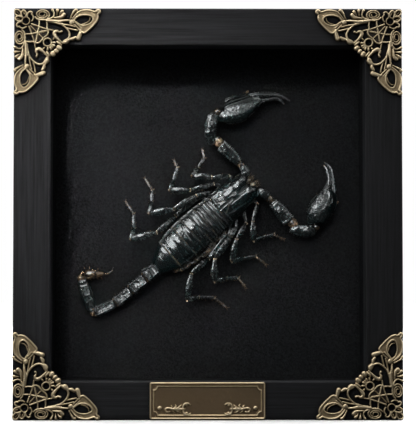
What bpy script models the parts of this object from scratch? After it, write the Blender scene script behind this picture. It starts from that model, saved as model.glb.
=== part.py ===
"""A scorpion specimen in a black wooden box frame with antique-brass corners.

The frame stands upright on its bottom rail and faces -Y. The origin is at the middle of the footprint, on
the surface that the frame stands on. X runs along the frame's width and Z up its height.

Everything is in metres. Lists of small shapes are written in millimetres and turned into metres by MM.
"""

import math

import bmesh
import bpy
from mathutils import Matrix, Vector

MM = 0.001

# Box frame
FRAME_WIDTH = 0.190
FRAME_HEIGHT = 0.201
RAIL_DEPTH = 0.036
SIDE_RAIL = 0.0183
TOP_RAIL = 0.0184
BOTTOM_RAIL = 0.0187
LIP_DEPTH = 0.0115
RABBET = 0.005
EDGE_ROUNDING = 0.0006
ROUNDING_STEPS = 2
GAP = 0.0003
# half the side of the square blank that each rail is shaped from
BLANK_HALF = 0.5

# What lies in the rabbet, from the front to the back
GLASS_THICKNESS = 0.002
RECESS_DEPTH = 0.030
SPACER_SETBACK = 0.0005
BOARD_THICKNESS = 0.003

# Metalwork on the front
CORNER_THICKNESS = 0.0012
PLATE_WIDTH = 0.0562
PLATE_HEIGHT = 0.0181
PLATE_CENTRE_X = -0.0003
PLATE_THICKNESS = 0.0008
PLATE_RELIEF = 0.0004
PLATE_CORNER_RADIUS = 0.0011
PLATE_RIM = 0.0008
PLATE_LINE_INSET = 0.0017
PLATE_LINE_WIDTH = 0.0006
PLATE_NOTCH = 0.0019
PLATE_DOT_RADIUS = 0.0009
PLATE_DOT_X = 0.0232
PLATE_DOT_DROP = 0.0035
ARC_STEPS = 3
WELD_DISTANCE = 0.00001

METAL_PROUD = GAP + CORNER_THICKNESS
WOOD_FRONT_Y = -(RAIL_DEPTH - METAL_PROUD) / 2
WOOD_BACK_Y = WOOD_FRONT_Y + RAIL_DEPTH
LIP_BACK_Y = WOOD_FRONT_Y + LIP_DEPTH
BOARD_FRONT_Y = WOOD_FRONT_Y + RECESS_DEPTH

# The scorpion lies on the board at a slant, its head to the upper right. Its own axes are X to the head,
# Y to its left side and Z off the board.
BODY_ORIGIN_X = 0.0048
BODY_ORIGIN_Z = 0.1018
BODY_SLANT = math.radians(42.0)

# Half outline of one corner piece in mm, from the frame's corner: first number along one rail, second along
# the other. It runs along the outer edge to the far tip and back along the inner edge to the diagonal.
CORNER_OUTLINE = [
    (0.4, 0.4), (2.2, 0.4), (3.4, 1.6), (4.4, 0.8), (6.2, 1.4), (7.6, 1.3), (9.2, 2.4), (10.6, 1.5),
    (12.6, 0.5), (15.4, 0.4), (17.4, 1.2), (18.8, 0.4), (19.9, 1.6), (21.3, 0.6), (22.3, 1.9), (24.2, 1.4),
    (25.3, 3.4), (24.4, 4.8), (27.0, 5.0), (29.8, 0.4), (31.0, 0.8), (30.4, 2.3), (33.0, 0.8), (36.0, 0.5),
    (38.8, 1.0), (41.0, 0.4), (42.2, 1.3), (41.2, 2.5), (41.0, 5.6), (39.2, 8.4), (35.4, 11.9), (33.6, 12.2),
    (32.7, 14.4), (31.3, 15.0), (30.3, 14.0), (28.6, 15.6), (27.2, 15.6), (25.9, 17.3), (23.8, 18.3),
    (23.4, 20.2), (21.8, 21.6),
]

# Openings in one half of a corner piece, in the same mm; each also has its mirror image across the diagonal.
CORNER_HOLES = [
    # the leaf loop at the far end
    [(29.8, 6.0), (31.4, 4.0), (34.2, 3.2), (36.8, 3.9), (37.9, 5.6), (36.8, 7.6), (33.6, 8.8), (31.2, 7.9)],
    # between the stem and the curl
    [(19.0, 7.7), (22.2, 8.2), (25.2, 10.4), (26.2, 13.2), (25.2, 14.8), (23.2, 14.6), (21.8, 12.6),
     (22.6, 10.4), (20.0, 9.9)],
    # between the curl and the leaf's root
    [(27.6, 10.4), (31.2, 11.5), (30.4, 13.0), (28.4, 13.8)],
    # inside the oval scroll
    [(11.6, 2.8), (13.2, 1.7), (15.4, 1.8), (16.6, 3.0), (15.2, 4.4), (12.8, 4.3)],
    # beside the oval scroll, towards the corner
    [(8.6, 4.0), (10.2, 5.2), (11.6, 6.2), (11.4, 7.6), (9.4, 7.2)],
    # lattice, four openings round its middle
    [(12.6, 7.2), (15.4, 7.4), (15.6, 9.6), (12.8, 10.0)],
    [(13.4, 11.0), (16.0, 10.6), (16.0, 12.6), (14.2, 13.4)],
    # between the fan's lobes
    [(20.2, 3.2), (20.9, 2.0), (21.6, 3.4), (23.2, 2.8), (23.6, 3.6), (21.4, 4.4)],
    # between the lattice and the shell
    [(17.6, 10.6), (19.2, 11.6), (19.6, 14.0), (18.2, 13.8)],
]

# Round openings on the diagonal: middle along both rails and radius, mm
CORNER_RINGS = [(5.9, 1.6), (16.4, 1.4)]
CORNER_RING_POINTS = 8

# Trunk sections, from the head back, mm: along, across, height of the middle, half width, half height
CARAPACE_SECTIONS = [
    (23.6, 0.0, 6.0, 5.6, 1.6),
    (22.6, 0.0, 5.9, 7.0, 2.9),
    (20.4, 0.1, 5.8, 7.9, 3.9),
    (15.0, 0.3, 5.7, 8.6, 4.5),
    (8.0, 0.4, 5.7, 9.3, 4.8),
    (3.0, 0.5, 5.6, 9.6, 4.7),
    (1.4, 0.6, 5.5, 9.2, 4.3),
]
NOTCH_DEPTH_AT = 21.9
NOTCH_RADIUS = 3.0
NOTCH_SIDES = 3
NOTCH_HEIGHT = 20.0
EYE_AT = (12.4, 0.2, 10.0)
EYE_SIZE = (1.9, 1.3, 1.0)
EYE_SIDES = 8
EYE_RINGS = 6

# Rear edges of the abdomen's plates along the body, mm, and the abdomen's sections, mm
PLATE_EDGES = [0.8, -1.8, -4.6, -8.2, -12.0, -16.6, -22.4, -32.0]
ABDOMEN_SECTIONS = [
    (0.8, 0.6, 5.5, 9.0, 4.3),
    (-8.0, 0.9, 5.6, 9.8, 4.7),
    (-16.0, 0.9, 5.6, 10.0, 4.9),
    (-24.0, 0.8, 5.5, 9.8, 4.7),
    (-32.0, 0.5, 5.2, 8.6, 4.2),
    (-38.0, 0.1, 4.6, 5.9, 3.4),
    (-40.4, -0.2, 4.4, 4.2, 2.8),
]
PLATE_STEP = 0.94
TRUNK_CLEARANCE = 0.35

# Combs under the abdomen that show beside it, right side, mm
PECTEN = [
    (-7.0, -5.0, 1.9, 1.2, 0.5),
    (-10.0, -9.6, 1.9, 1.5, 0.5),
    (-15.0, -11.6, 1.9, 1.6, 0.5),
    (-20.6, -11.6, 1.9, 0.9, 0.5),
]

# Tail segments, mm: start and end along and across, half width, height of the middle
TAIL_SEGMENTS = [
    ((-41.0, -0.3), (-48.4, 0.2), 3.7, 4.4),
    ((-49.3, 0.0), (-57.6, 0.4), 3.3, 4.3),
    ((-58.8, 0.3), (-68.0, 0.7), 3.0, 4.2),
    ((-69.0, 0.7), (-79.2, 4.3), 2.75, 4.1),
]
LAST_TAIL_SEGMENT = ((-80.0, 4.6), (-73.1, 20.9), 2.8, 4.0)
TAIL_TAPER = (1.0, 0.94, 0.97)
LAST_TAIL_TAPER = (0.8, 1.0, 0.6)
TAIL_FLATNESS = 0.9

# Sting: along, across, height, half width, half height, mm
TELSON = [
    (-72.3, 22.5, 3.9, 0.75, 0.75),
    (-71.5, 22.5, 3.9, 1.35, 1.3),
    (-69.8, 21.2, 3.8, 2.3, 2.2),
    (-67.6, 19.5, 3.8, 2.55, 2.4),
    (-65.4, 17.6, 3.8, 2.1, 2.0),
    (-64.0, 16.4, 3.8, 1.3, 1.3),
    (-62.6, 15.2, 3.8, 0.85, 0.85),
    (-61.0, 14.2, 3.7, 0.62, 0.62),
    (-59.4, 13.9, 3.6, 0.48, 0.48),
    (-58.0, 14.3, 3.5, 0.32, 0.32),
    (-56.8, 15.0, 3.4, 0.14, 0.14),
]

# Pincer arms: trochanter, femur, elbow, patella, mm
ARM_LEFT = [
    (21.8, 3.6, 5.0, 1.5, 1.5),
    (24.3, 5.8, 5.2, 2.0, 1.9),
    (25.2, 8.4, 5.3, 2.2, 2.0),
    (25.2, 10.6, 5.2, 1.5, 1.5),
    (25.4, 12.4, 5.1, 2.3, 2.2),
    (25.0, 18.4, 5.0, 2.8, 2.5),
    (24.4, 24.0, 4.9, 2.7, 2.4),
    (24.0, 26.2, 4.8, 1.7, 1.7),
    (23.3, 28.4, 4.8, 2.2, 2.1),
    (24.3, 31.6, 4.8, 2.9, 2.6),
    (27.4, 35.0, 4.8, 3.1, 2.8),
    (31.6, 37.6, 4.8, 2.8, 2.5),
    (34.4, 38.3, 4.8, 1.6, 1.6),
]
ARM_RIGHT = [
    (21.6, -4.6, 5.0, 1.5, 1.5),
    (23.8, -7.4, 5.2, 2.0, 1.9),
    (24.5, -10.6, 5.3, 2.4, 2.1),
    (24.5, -13.0, 5.2, 1.6, 1.6),
    (24.6, -15.4, 5.1, 2.5, 2.3),
    (24.6, -20.6, 5.0, 3.1, 2.7),
    (24.2, -26.4, 4.9, 3.0, 2.6),
    (24.3, -29.0, 4.8, 1.8, 1.8),
    (23.2, -31.2, 4.8, 2.1, 2.1),
    (24.8, -34.2, 4.8, 2.9, 2.6),
    (27.4, -36.6, 4.8, 3.3, 2.8),
    (30.2, -38.8, 4.8, 2.7, 2.4),
    (32.4, -39.9, 4.8, 1.5, 1.5),
]

# Claws. Each has a base point and a direction in the body's axes, and sections in its own: distance from the
# base, offset to its left, height, half width, half height, mm.
CLAW_LEFT_BASE = (37.1, 35.9)
CLAW_LEFT_TURN = math.radians(-30.4)
CLAW_LEFT = [
    (-1.5, 1.2, 5.0, 2.6, 1.6),
    (-0.2, -0.4, 5.2, 5.2, 2.9),
    (1.6, -0.7, 5.4, 6.0, 3.7),
    (4.2, -0.3, 5.4, 6.8, 4.3),
    (7.6, 0.1, 5.4, 7.0, 4.4),
    (11.0, 1.1, 5.3, 6.1, 4.0),
    (14.0, 1.9, 5.1, 5.2, 3.3),
    (17.0, 2.2, 4.8, 3.7, 2.4),
    (19.6, 1.8, 4.5, 1.8, 1.7),
    (23.0, 1.8, 4.0, 1.05, 1.15),
    (26.8, 1.5, 3.6, 0.8, 0.9),
    (29.2, 0.2, 3.4, 0.6, 0.7),
    (30.8, -2.2, 3.2, 0.25, 0.3),
]
FINGER_LEFT = [
    (14.4, 5.6, 5.2, 1.3, 1.3),
    (17.6, 5.3, 5.1, 1.5, 1.6),
    (21.8, 4.5, 4.7, 1.1, 1.3),
    (28.0, 3.3, 4.1, 0.85, 1.0),
    (31.6, 1.1, 3.8, 0.7, 0.75),
    (33.8, -1.0, 3.6, 0.25, 0.3),
]
CLAW_RIGHT_BASE = (33.9, -36.2)
CLAW_RIGHT_TURN = math.radians(23.8)
CLAW_RIGHT = [
    (-0.9, -0.8, 5.0, 2.6, 1.6),
    (0.4, 0.0, 5.2, 4.6, 2.9),
    (2.2, 0.0, 5.4, 5.4, 3.7),
    (4.4, 0.1, 5.4, 6.2, 4.2),
    (7.4, -0.2, 5.4, 6.4, 4.4),
    (10.6, -0.6, 5.3, 6.1, 4.1),
    (14.0, -0.5, 5.1, 5.0, 3.4),
    (17.0, 0.5, 4.8, 3.1, 2.4),
    (19.4, 1.1, 4.5, 1.5, 1.6),
    (22.0, 1.9, 4.1, 0.9, 1.1),
    (24.6, 3.4, 3.8, 0.75, 0.9),
    (26.8, 5.4, 3.5, 0.6, 0.7),
    (28.2, 7.6, 3.3, 0.25, 0.3),
]
FINGER_RIGHT = [
    (14.4, -4.3, 5.2, 1.3, 1.3),
    (17.6, -2.6, 5.1, 1.35, 1.5),
    (20.6, -0.9, 4.8, 1.05, 1.25),
    (23.4, 0.6, 4.5, 0.9, 1.1),
    (26.8, 2.9, 4.1, 0.8, 0.95),
    (28.8, 5.2, 3.8, 0.6, 0.7),
    (29.6, 7.9, 3.6, 0.25, 0.3),
]
JOINT_CLEARANCE = 0.35

# Small jaws in front of the carapace, mm
CHELICERA = [
    (19.5, 1.9, 5.2, 1.4, 1.6),
    (23.6, 1.9, 5.0, 1.5, 1.7),
    (25.2, 1.6, 4.7, 1.1, 1.3),
    (26.6, 1.0, 4.4, 0.4, 0.5),
]

# Legs, in mm along, across and off the board: hip, end of the trochanter, end of the femur, knee, and below
# them the end of the tibia, the end of the basitarsus and the tip.
LEGS = {
    "leg_left_1": [
        (17.6, 4.6, 3.6), (17.3, 10.1, 4.6), (9.9, 15.2, 8.0), (3.1, 22.3, 7.2),
        (8.5, 23.6, 3.6), (14.1, 25.3, 2.0), (16.3, 29.3, 0.9),
    ],
    "leg_left_2": [
        (12.4, 4.6, 3.4), (8.8, 12.2, 4.8), (-2.5, 17.6, 8.6), (-10.2, 24.4, 7.4),
        (-5.5, 27.0, 3.7), (0.8, 30.9, 2.0), (1.9, 34.9, 0.9),
    ],
    "leg_left_3": [
        (8.0, 5.0, 3.4), (-1.8, 13.6, 5.8), (-15.0, 16.0, 8.8), (-25.7, 22.8, 7.4),
        (-20.7, 26.5, 3.8), (-16.4, 30.8, 2.0), (-15.3, 37.8, 0.9),
    ],
    "leg_left_4": [
        (4.0, 5.0, 2.6), (-16.6, 13.1, 3.6), (-29.2, 12.9, 8.4), (-41.2, 19.2, 7.2),
        (-36.3, 22.4, 3.8), (-31.6, 28.2, 2.0), (-30.4, 35.5, 0.9),
    ],
    "leg_right_1": [
        (17.8, -4.6, 3.6), (18.4, -10.0, 4.6), (10.4, -15.2, 8.0), (4.2, -22.6, 7.2),
        (9.2, -24.6, 3.6), (14.3, -27.2, 2.0), (16.4, -32.1, 0.9),
    ],
    "leg_right_2": [
        (12.4, -4.6, 3.4), (7.6, -13.6, 4.8), (-1.6, -16.3, 8.4), (-10.9, -23.0, 7.4),
        (-5.2, -25.9, 3.7), (0.0, -29.2, 2.0), (1.0, -35.8, 0.9),
    ],
    "leg_right_3": [
        (8.0, -5.0, 3.4), (-2.6, -13.3, 5.8), (-16.4, -16.4, 8.8), (-24.2, -24.7, 7.4),
        (-18.4, -27.5, 3.8), (-13.8, -31.5, 2.0), (-14.4, -37.8, 0.9),
    ],
    "leg_right_4": [
        (4.0, -5.0, 2.6), (-18.6, -14.2, 3.8), (-30.2, -14.0, 8.4), (-40.7, -22.4, 7.2),
        (-35.2, -25.2, 3.8), (-29.6, -31.0, 2.0), (-28.3, -38.6, 0.9),
    ],
}

# Where the hip of each hindmost leg leaves the trunk before it turns back along the abdomen, mm
HIND_HIPS = {
    "leg_left_3": (3.4, 11.2, 4.4),
    "leg_left_4": (-2.0, 12.2, 2.4),
    "leg_right_3": (2.6, -11.6, 4.4),
    "leg_right_4": (-2.0, -11.4, 2.2),
}

# Leg thickness in mm: half width at the start, middle and end of each segment
LEG_WAIST = 0.85
LEG_SEGMENT_RADII = {
    "trochanter": (1.3, 1.4, 1.1),
    "femur": (1.2, 1.6, 1.2),
    "patella": (1.3, 2.0, 1.4),
    "tibia": (1.2, 1.4, 1.0),
    "basitarsus": (1.0, 1.1, 0.85),
    "tarsus": (0.75, 0.7, 0.35),
}

# Sections of one segment: how far along it they lie, and how narrow it is at both ends
SEGMENT_SHARES = (0.0, 0.14, 0.55, 0.9, 1.0)
SEGMENT_END = 0.8

LIMB_SIDES = 6
SMALL_LIMB_SIDES = 8
TRUNK_SIDES = 12
CLAW_SIDES = 12

COLOURS = {
    "wood": ((0.020, 0.020, 0.022), 0.5, 0.0),
    "brass": ((0.46, 0.36, 0.20), 0.4, 1.0),
    "glass": ((0.95, 0.97, 0.96), 0.05, 0.0),
    "lining": ((0.012, 0.012, 0.013), 0.9, 0.0),
    "cuticle": ((0.016, 0.030, 0.032), 0.3, 0.0),
    "sting": ((0.16, 0.09, 0.05), 0.35, 0.0),
}


def clear_scene():
    for item in list(bpy.data.objects):
        bpy.data.objects.remove(item, do_unlink=True)


def make_collection(name):
    collection = bpy.data.collections.new(name)
    bpy.context.scene.collection.children.link(collection)
    return collection


def make_material(name, kind):
    colour, roughness, metallic = COLOURS[kind]
    material = bpy.data.materials.new(name)
    material.use_nodes = True
    shader = material.node_tree.nodes["Principled BSDF"]
    shader.inputs["Base Color"].default_value = (*colour, 1.0)
    shader.inputs["Roughness"].default_value = roughness
    shader.inputs["Metallic"].default_value = metallic
    return material


def add_part(name, data, kind, collection):
    part = bpy.data.objects.new(name, data)
    data.materials.append(make_material(name, kind))
    collection.objects.link(part)
    return part


def add_cutter(name, data, collection):
    cutter = bpy.data.objects.new(name, data)
    cutter.hide_render = True
    cutter.display_type = "WIRE"
    collection.objects.link(cutter)
    return cutter


def add_boolean(part, other, operation):
    boolean = part.modifiers.new(operation.lower() + "_" + other.name, "BOOLEAN")
    boolean.operation = operation
    boolean.solver = "EXACT"
    boolean.object = other


def box_mesh(name, low, high):
    """A box between two corners, from a cube."""
    mesh = bpy.data.meshes.new(name)
    shape = bmesh.new()
    bmesh.ops.create_cube(shape, size=1.0)
    low, high = Vector(low), Vector(high)
    size = high - low
    bmesh.ops.scale(shape, vec=size, verts=shape.verts)
    bmesh.ops.translate(shape, vec=(low + high) / 2, verts=shape.verts)
    shape.to_mesh(mesh)
    shape.free()
    return mesh


def flat_outline(name, outlines, thickness, front_y):
    """A flat piece facing -Y from outlines in the X-Z plane; the inner outlines are openings."""
    curve = bpy.data.curves.new(name, "CURVE")
    curve.dimensions = "2D"
    curve.fill_mode = "BOTH"
    curve.extrude = thickness / 2
    for outline in outlines:
        spline = curve.splines.new("POLY")
        spline.points.add(len(outline) - 1)
        for point, (x, z) in zip(spline.points, outline):
            point.co = (x, z, 0.0, 1.0)
        spline.use_cyclic_u = True
    holder = bpy.data.objects.new(name, curve)
    bpy.context.scene.collection.objects.link(holder)
    holder.location = (0.0, front_y + thickness / 2, 0.0)
    holder.rotation_euler = (math.pi / 2, 0.0, 0.0)
    bpy.context.view_layer.update()
    ready = holder.evaluated_get(bpy.context.evaluated_depsgraph_get())
    mesh = bpy.data.meshes.new_from_object(ready)
    mesh.transform(holder.matrix_world)
    bpy.data.objects.remove(holder, do_unlink=True)
    weld(mesh)
    mesh.name = name
    return mesh


def weld(mesh):
    shape = bmesh.new()
    shape.from_mesh(mesh)
    bmesh.ops.remove_doubles(shape, verts=shape.verts, dist=WELD_DISTANCE)
    bmesh.ops.recalc_face_normals(shape, faces=shape.faces)
    shape.to_mesh(mesh)
    shape.free()


def loft_mesh(name, sections, sides, swell=0.0):
    """A closed body through elliptical sections: along, across, height, half width and half height in mm.

    swell widens every section by that many mm, for the clearance round a body."""
    mesh = bpy.data.meshes.new(name)
    shape = bmesh.new()
    middles = [Vector(section[:3]) for section in sections]
    rings = []
    for index, (*_, half_width, half_height) in enumerate(sections):
        before = middles[max(index - 1, 0)]
        after = middles[min(index + 1, len(middles) - 1)]
        ahead = (after - before).normalized()
        across = Vector((0.0, 0.0, 1.0)).cross(ahead).normalized()
        above = ahead.cross(across)
        middle = middles[index]
        if index == 0:
            middle = middle - ahead * swell
        if index == len(middles) - 1:
            middle = middle + ahead * swell
        ring = []
        for side in range(sides):
            angle = math.tau * (side + 0.5) / sides
            point = middle + across * (half_width + swell) * math.cos(angle)
            point = point + above * (half_height + swell) * math.sin(angle)
            ring.append(shape.verts.new(point * MM))
        rings.append(ring)
    for ring, following in zip(rings, rings[1:]):
        for side in range(sides):
            beside = (side + 1) % sides
            shape.faces.new((ring[side], ring[beside], following[beside], following[side]))
    shape.faces.new(rings[0])
    shape.faces.new(rings[-1])
    bmesh.ops.recalc_face_normals(shape, faces=shape.faces)
    shape.to_mesh(mesh)
    shape.free()
    mesh.shade_smooth()
    return mesh


def blend_sections(sections, along):
    """The trunk's section at a place along the body, between the sections given."""
    for front, rear in zip(sections, sections[1:]):
        if along >= rear[0]:
            share = (front[0] - along) / (front[0] - rear[0])
            return tuple(a + (b - a) * share for a, b in zip(front, rear))
    return sections[-1]


def make_rails(parts, cutters):
    """Four mitred rails, each with a lip in front of one common rabbet."""
    half = FRAME_WIDTH / 2
    left, right = -half + SIDE_RAIL, half - SIDE_RAIL
    low, high = BOTTOM_RAIL, FRAME_HEIGHT - TOP_RAIL
    rabbet = box_mesh(
        "rabbet",
        (left - RABBET, LIP_BACK_Y, low - RABBET),
        (right + RABBET, WOOD_BACK_Y + RABBET, high + RABBET),
    )
    rabbet_cutter = add_cutter("rabbet", rabbet, cutters)
    outer = {"left": -half, "right": half, "bottom": 0.0, "top": FRAME_HEIGHT}
    inner = {"left": left, "right": right, "bottom": low, "top": high}
    mitre = GAP / 2
    for side in ("top", "bottom", "left", "right"):
        lying = side in ("top", "bottom")
        ends = ("left", "right") if lying else ("bottom", "top")
        blank_low = (-BLANK_HALF, WOOD_FRONT_Y, -BLANK_HALF)
        blank_high = (BLANK_HALF, WOOD_BACK_Y, BLANK_HALF)
        mesh = box_mesh("rail_" + side, blank_low, blank_high)
        for vertex in mesh.vertices:
            # each corner of the blank goes to the outer or inner edge, so the ends follow the mitre
            along, across = (vertex.co.x, vertex.co.z) if lying else (vertex.co.z, vertex.co.x)
            at_end = ends[0] if along < 0 else ends[1]
            is_outer = (across > 0) == (side in ("top", "right"))
            places = outer if is_outer else inner
            back_off = mitre if along < 0 else -mitre
            if lying:
                vertex.co.x = places[at_end] + back_off
                vertex.co.z = places[side]
            else:
                vertex.co.z = places[at_end] + back_off
                vertex.co.x = places[side]
        rail = add_part("rail_" + side, mesh, "wood", parts)
        add_boolean(rail, rabbet_cutter, "DIFFERENCE")
        rounding = rail.modifiers.new("rounding", "BEVEL")
        rounding.width = EDGE_ROUNDING
        rounding.segments = ROUNDING_STEPS
        rounding.limit_method = "ANGLE"
    return left, right, low, high


def make_inside(parts, opening):
    """The glass, the four spacer strips and the board, from the front to the back of the rabbet."""
    left, right, low, high = opening
    reach = RABBET - GAP
    glass_front = LIP_BACK_Y + GAP
    glass_back = glass_front + GLASS_THICKNESS
    glass = box_mesh(
        "glass_pane",
        (left - reach, glass_front, low - reach),
        (right + reach, glass_back, high + reach),
    )
    add_part("glass_pane", glass, "glass", parts)

    near, far = glass_back + GAP, BOARD_FRONT_Y - GAP
    back_off = SPACER_SETBACK
    spans = {
        "top": ((left - reach, high + back_off), (right + reach, high + reach)),
        "bottom": ((left - reach, low - reach), (right + reach, low - back_off)),
        "left": ((left - reach, low - back_off + GAP), (left - back_off, high + back_off - GAP)),
        "right": ((right + back_off, low - back_off + GAP), (right + reach, high + back_off - GAP)),
    }
    for side, ((x0, z0), (x1, z1)) in spans.items():
        strip = box_mesh("spacer_" + side, (x0, near, z0), (x1, far, z1))
        add_part("spacer_" + side, strip, "lining", parts)

    board = box_mesh(
        "backing_board",
        (left - reach, BOARD_FRONT_Y, low - reach),
        (right + reach, BOARD_FRONT_Y + BOARD_THICKNESS, high + reach),
    )
    add_part("backing_board", board, "lining", parts)


def corner_outlines():
    """One corner piece's outline and openings in mm, both halves."""
    outline = CORNER_OUTLINE + [(b, a) for a, b in reversed(CORNER_OUTLINE[1:])]
    holes = []
    for hole in CORNER_HOLES:
        holes.append(hole)
        holes.append([(b, a) for a, b in hole])
    for middle, radius in CORNER_RINGS:
        turn = math.tau / CORNER_RING_POINTS
        ring = [
            (middle + radius * math.cos(turn * step), middle + radius * math.sin(turn * step))
            for step in range(CORNER_RING_POINTS)
        ]
        holes.append(ring)
    return [outline] + holes


def make_corners(parts):
    half = FRAME_WIDTH / 2
    front_y = WOOD_FRONT_Y - GAP - CORNER_THICKNESS
    for high_name, corner_z, to_middle_z in (("top", FRAME_HEIGHT, -1), ("bottom", 0.0, 1)):
        for side_name, corner_x, to_middle_x in (("left", -half, 1), ("right", half, -1)):
            name = f"corner_{high_name}_{side_name}"
            outlines = []
            for outline in corner_outlines():
                placed = [
                    (corner_x + to_middle_x * a * MM, corner_z + to_middle_z * b * MM)
                    for a, b in outline
                ]
                outlines.append(placed)
            mesh = flat_outline(name, outlines, CORNER_THICKNESS, front_y)
            add_part(name, mesh, "brass", parts)


def rounded_rectangle(width, height, radius):
    points = []
    for quarter, (side_x, side_z) in enumerate(((1, 1), (-1, 1), (-1, -1), (1, -1))):
        for step in range(ARC_STEPS + 1):
            angle = math.pi / 2 * (quarter + step / ARC_STEPS)
            x = side_x * (width / 2 - radius) + radius * math.cos(angle)
            z = side_z * (height / 2 - radius) + radius * math.sin(angle)
            points.append((x, z))
    return points


def notched_rectangle(width, height, notch):
    """A rectangle whose corners are cut away by quarter circles."""
    points = []
    for quarter, (side_x, side_z) in enumerate(((1, 1), (-1, 1), (-1, -1), (1, -1))):
        for step in range(ARC_STEPS + 1):
            angle = math.pi / 2 * (quarter + 3 - step / ARC_STEPS)
            x = side_x * width / 2 + notch * math.cos(angle)
            z = side_z * height / 2 + notch * math.sin(angle)
            points.append((x, z))
    return points


def make_nameplate(parts, cutters):
    """A bare plate with a rim, an inner line with notched corners and a dot at each side."""
    middle_z = PLATE_HEIGHT / 2 + GAP
    back_y = WOOD_FRONT_Y - GAP
    front_y = back_y - PLATE_THICKNESS

    def placed(points):
        return [(PLATE_CENTRE_X + x, middle_z + z) for x, z in points]

    outer = rounded_rectangle(PLATE_WIDTH, PLATE_HEIGHT, PLATE_CORNER_RADIUS)
    inside_width = PLATE_WIDTH - 2 * PLATE_RIM
    inside_height = PLATE_HEIGHT - 2 * PLATE_RIM
    inside = rounded_rectangle(inside_width, inside_height, PLATE_CORNER_RADIUS / 2)
    blank_depth = PLATE_THICKNESS + PLATE_RELIEF
    blank = flat_outline("nameplate", [placed(outer)], blank_depth, front_y - PLATE_RELIEF)
    plate = add_part("nameplate", blank, "brass", parts)

    # the channel between the rim and the line, and the field inside the line, are sunk into it
    line_width = PLATE_WIDTH - 2 * PLATE_LINE_INSET
    line_height = PLATE_HEIGHT - 2 * PLATE_LINE_INSET
    line_outer = notched_rectangle(line_width, line_height, PLATE_NOTCH)
    line_inner = notched_rectangle(
        line_width - 2 * PLATE_LINE_WIDTH, line_height - 2 * PLATE_LINE_WIDTH, PLATE_NOTCH
    )
    dots = []
    for side in (-1, 1):
        dot = []
        for step in range(CORNER_RING_POINTS):
            angle = math.tau * step / CORNER_RING_POINTS
            x = side * PLATE_DOT_X + PLATE_DOT_RADIUS * math.cos(angle)
            z = -PLATE_DOT_DROP + PLATE_DOT_RADIUS * math.sin(angle)
            dot.append((x, z))
        dots.append(placed(dot))
    cut_front = front_y - PLATE_RELIEF - GAP
    cut_depth = PLATE_RELIEF + GAP
    channel = flat_outline("plate_channel", [placed(inside), placed(line_outer)], cut_depth, cut_front)
    field = flat_outline("plate_field", [placed(line_inner)] + dots, cut_depth, cut_front)
    for name, mesh in (("plate_channel", channel), ("plate_field", field)):
        add_boolean(plate, add_cutter(name, mesh, cutters), "DIFFERENCE")


def claw_sections(base, turn, sections):
    """Claw sections from the claw's own axes into the body's."""
    ahead = Vector((math.cos(turn), math.sin(turn)))
    beside = Vector((-ahead.y, ahead.x))
    placed = []
    for distance, offset, height, half_width, half_height in sections:
        spot = Vector(base) + ahead * distance + beside * offset
        placed.append((spot.x, spot.y, height, half_width, half_height))
    return placed


def abdomen_sections():
    """The abdomen with a small step at the rear edge of each plate."""
    sections = []
    for front, rear in zip(PLATE_EDGES, PLATE_EDGES[1:]):
        along, across, height, half_width, half_height = blend_sections(ABDOMEN_SECTIONS, front)
        sections.append((along, across, height, half_width * PLATE_STEP, half_height * PLATE_STEP))
        edge = blend_sections(ABDOMEN_SECTIONS, rear + GAP / MM)
        sections.append(edge)
    along, across, height, half_width, half_height = blend_sections(ABDOMEN_SECTIONS, PLATE_EDGES[-1])
    sections.append((along, across, height, half_width * PLATE_STEP, half_height * PLATE_STEP))
    sections.extend(ABDOMEN_SECTIONS[-2:])
    return sections


def segment_sections(start, end, radii, flatness=1.0):
    """A limb segment that swells between its ends; start and end are points in mm."""
    start, end = Vector(start), Vector(end)
    first, middle, last = radii
    widths = (first * SEGMENT_END, first, middle, last, last * SEGMENT_END)
    sections = []
    for share, width in zip(SEGMENT_SHARES, widths):
        spot = start.lerp(end, share)
        sections.append((*spot, width, width * flatness))
    return sections


def tail_sections():
    sections = []
    for (along0, across0), (along1, across1), half_width, height in TAIL_SEGMENTS:
        start, end = (along0, across0, height), (along1, across1, height)
        radii = tuple(half_width * share for share in TAIL_TAPER)
        sections.extend(segment_sections(start, end, radii, TAIL_FLATNESS))
    return sections


def leg_sections(name):
    """The upper leg and the lower leg, which meet at the knee."""
    hip, trochanter, femur, knee, tibia, basitarsus, tip = LEGS[name]
    upper = []
    if name in HIND_HIPS:
        turn = HIND_HIPS[name]
        upper.append((*hip, LEG_WAIST, LEG_WAIST))
        upper.extend(segment_sections(turn, trochanter, LEG_SEGMENT_RADII["trochanter"])[1:])
    else:
        upper.extend(segment_sections(hip, trochanter, LEG_SEGMENT_RADII["trochanter"]))
    upper.extend(segment_sections(trochanter, femur, LEG_SEGMENT_RADII["femur"])[1:])
    upper.extend(segment_sections(femur, knee, LEG_SEGMENT_RADII["patella"])[1:])
    lower = segment_sections(knee, tibia, LEG_SEGMENT_RADII["tibia"])
    lower.extend(segment_sections(tibia, basitarsus, LEG_SEGMENT_RADII["basitarsus"])[1:])
    lower.extend(segment_sections(basitarsus, tip, LEG_SEGMENT_RADII["tarsus"])[1:])
    return upper, lower


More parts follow.
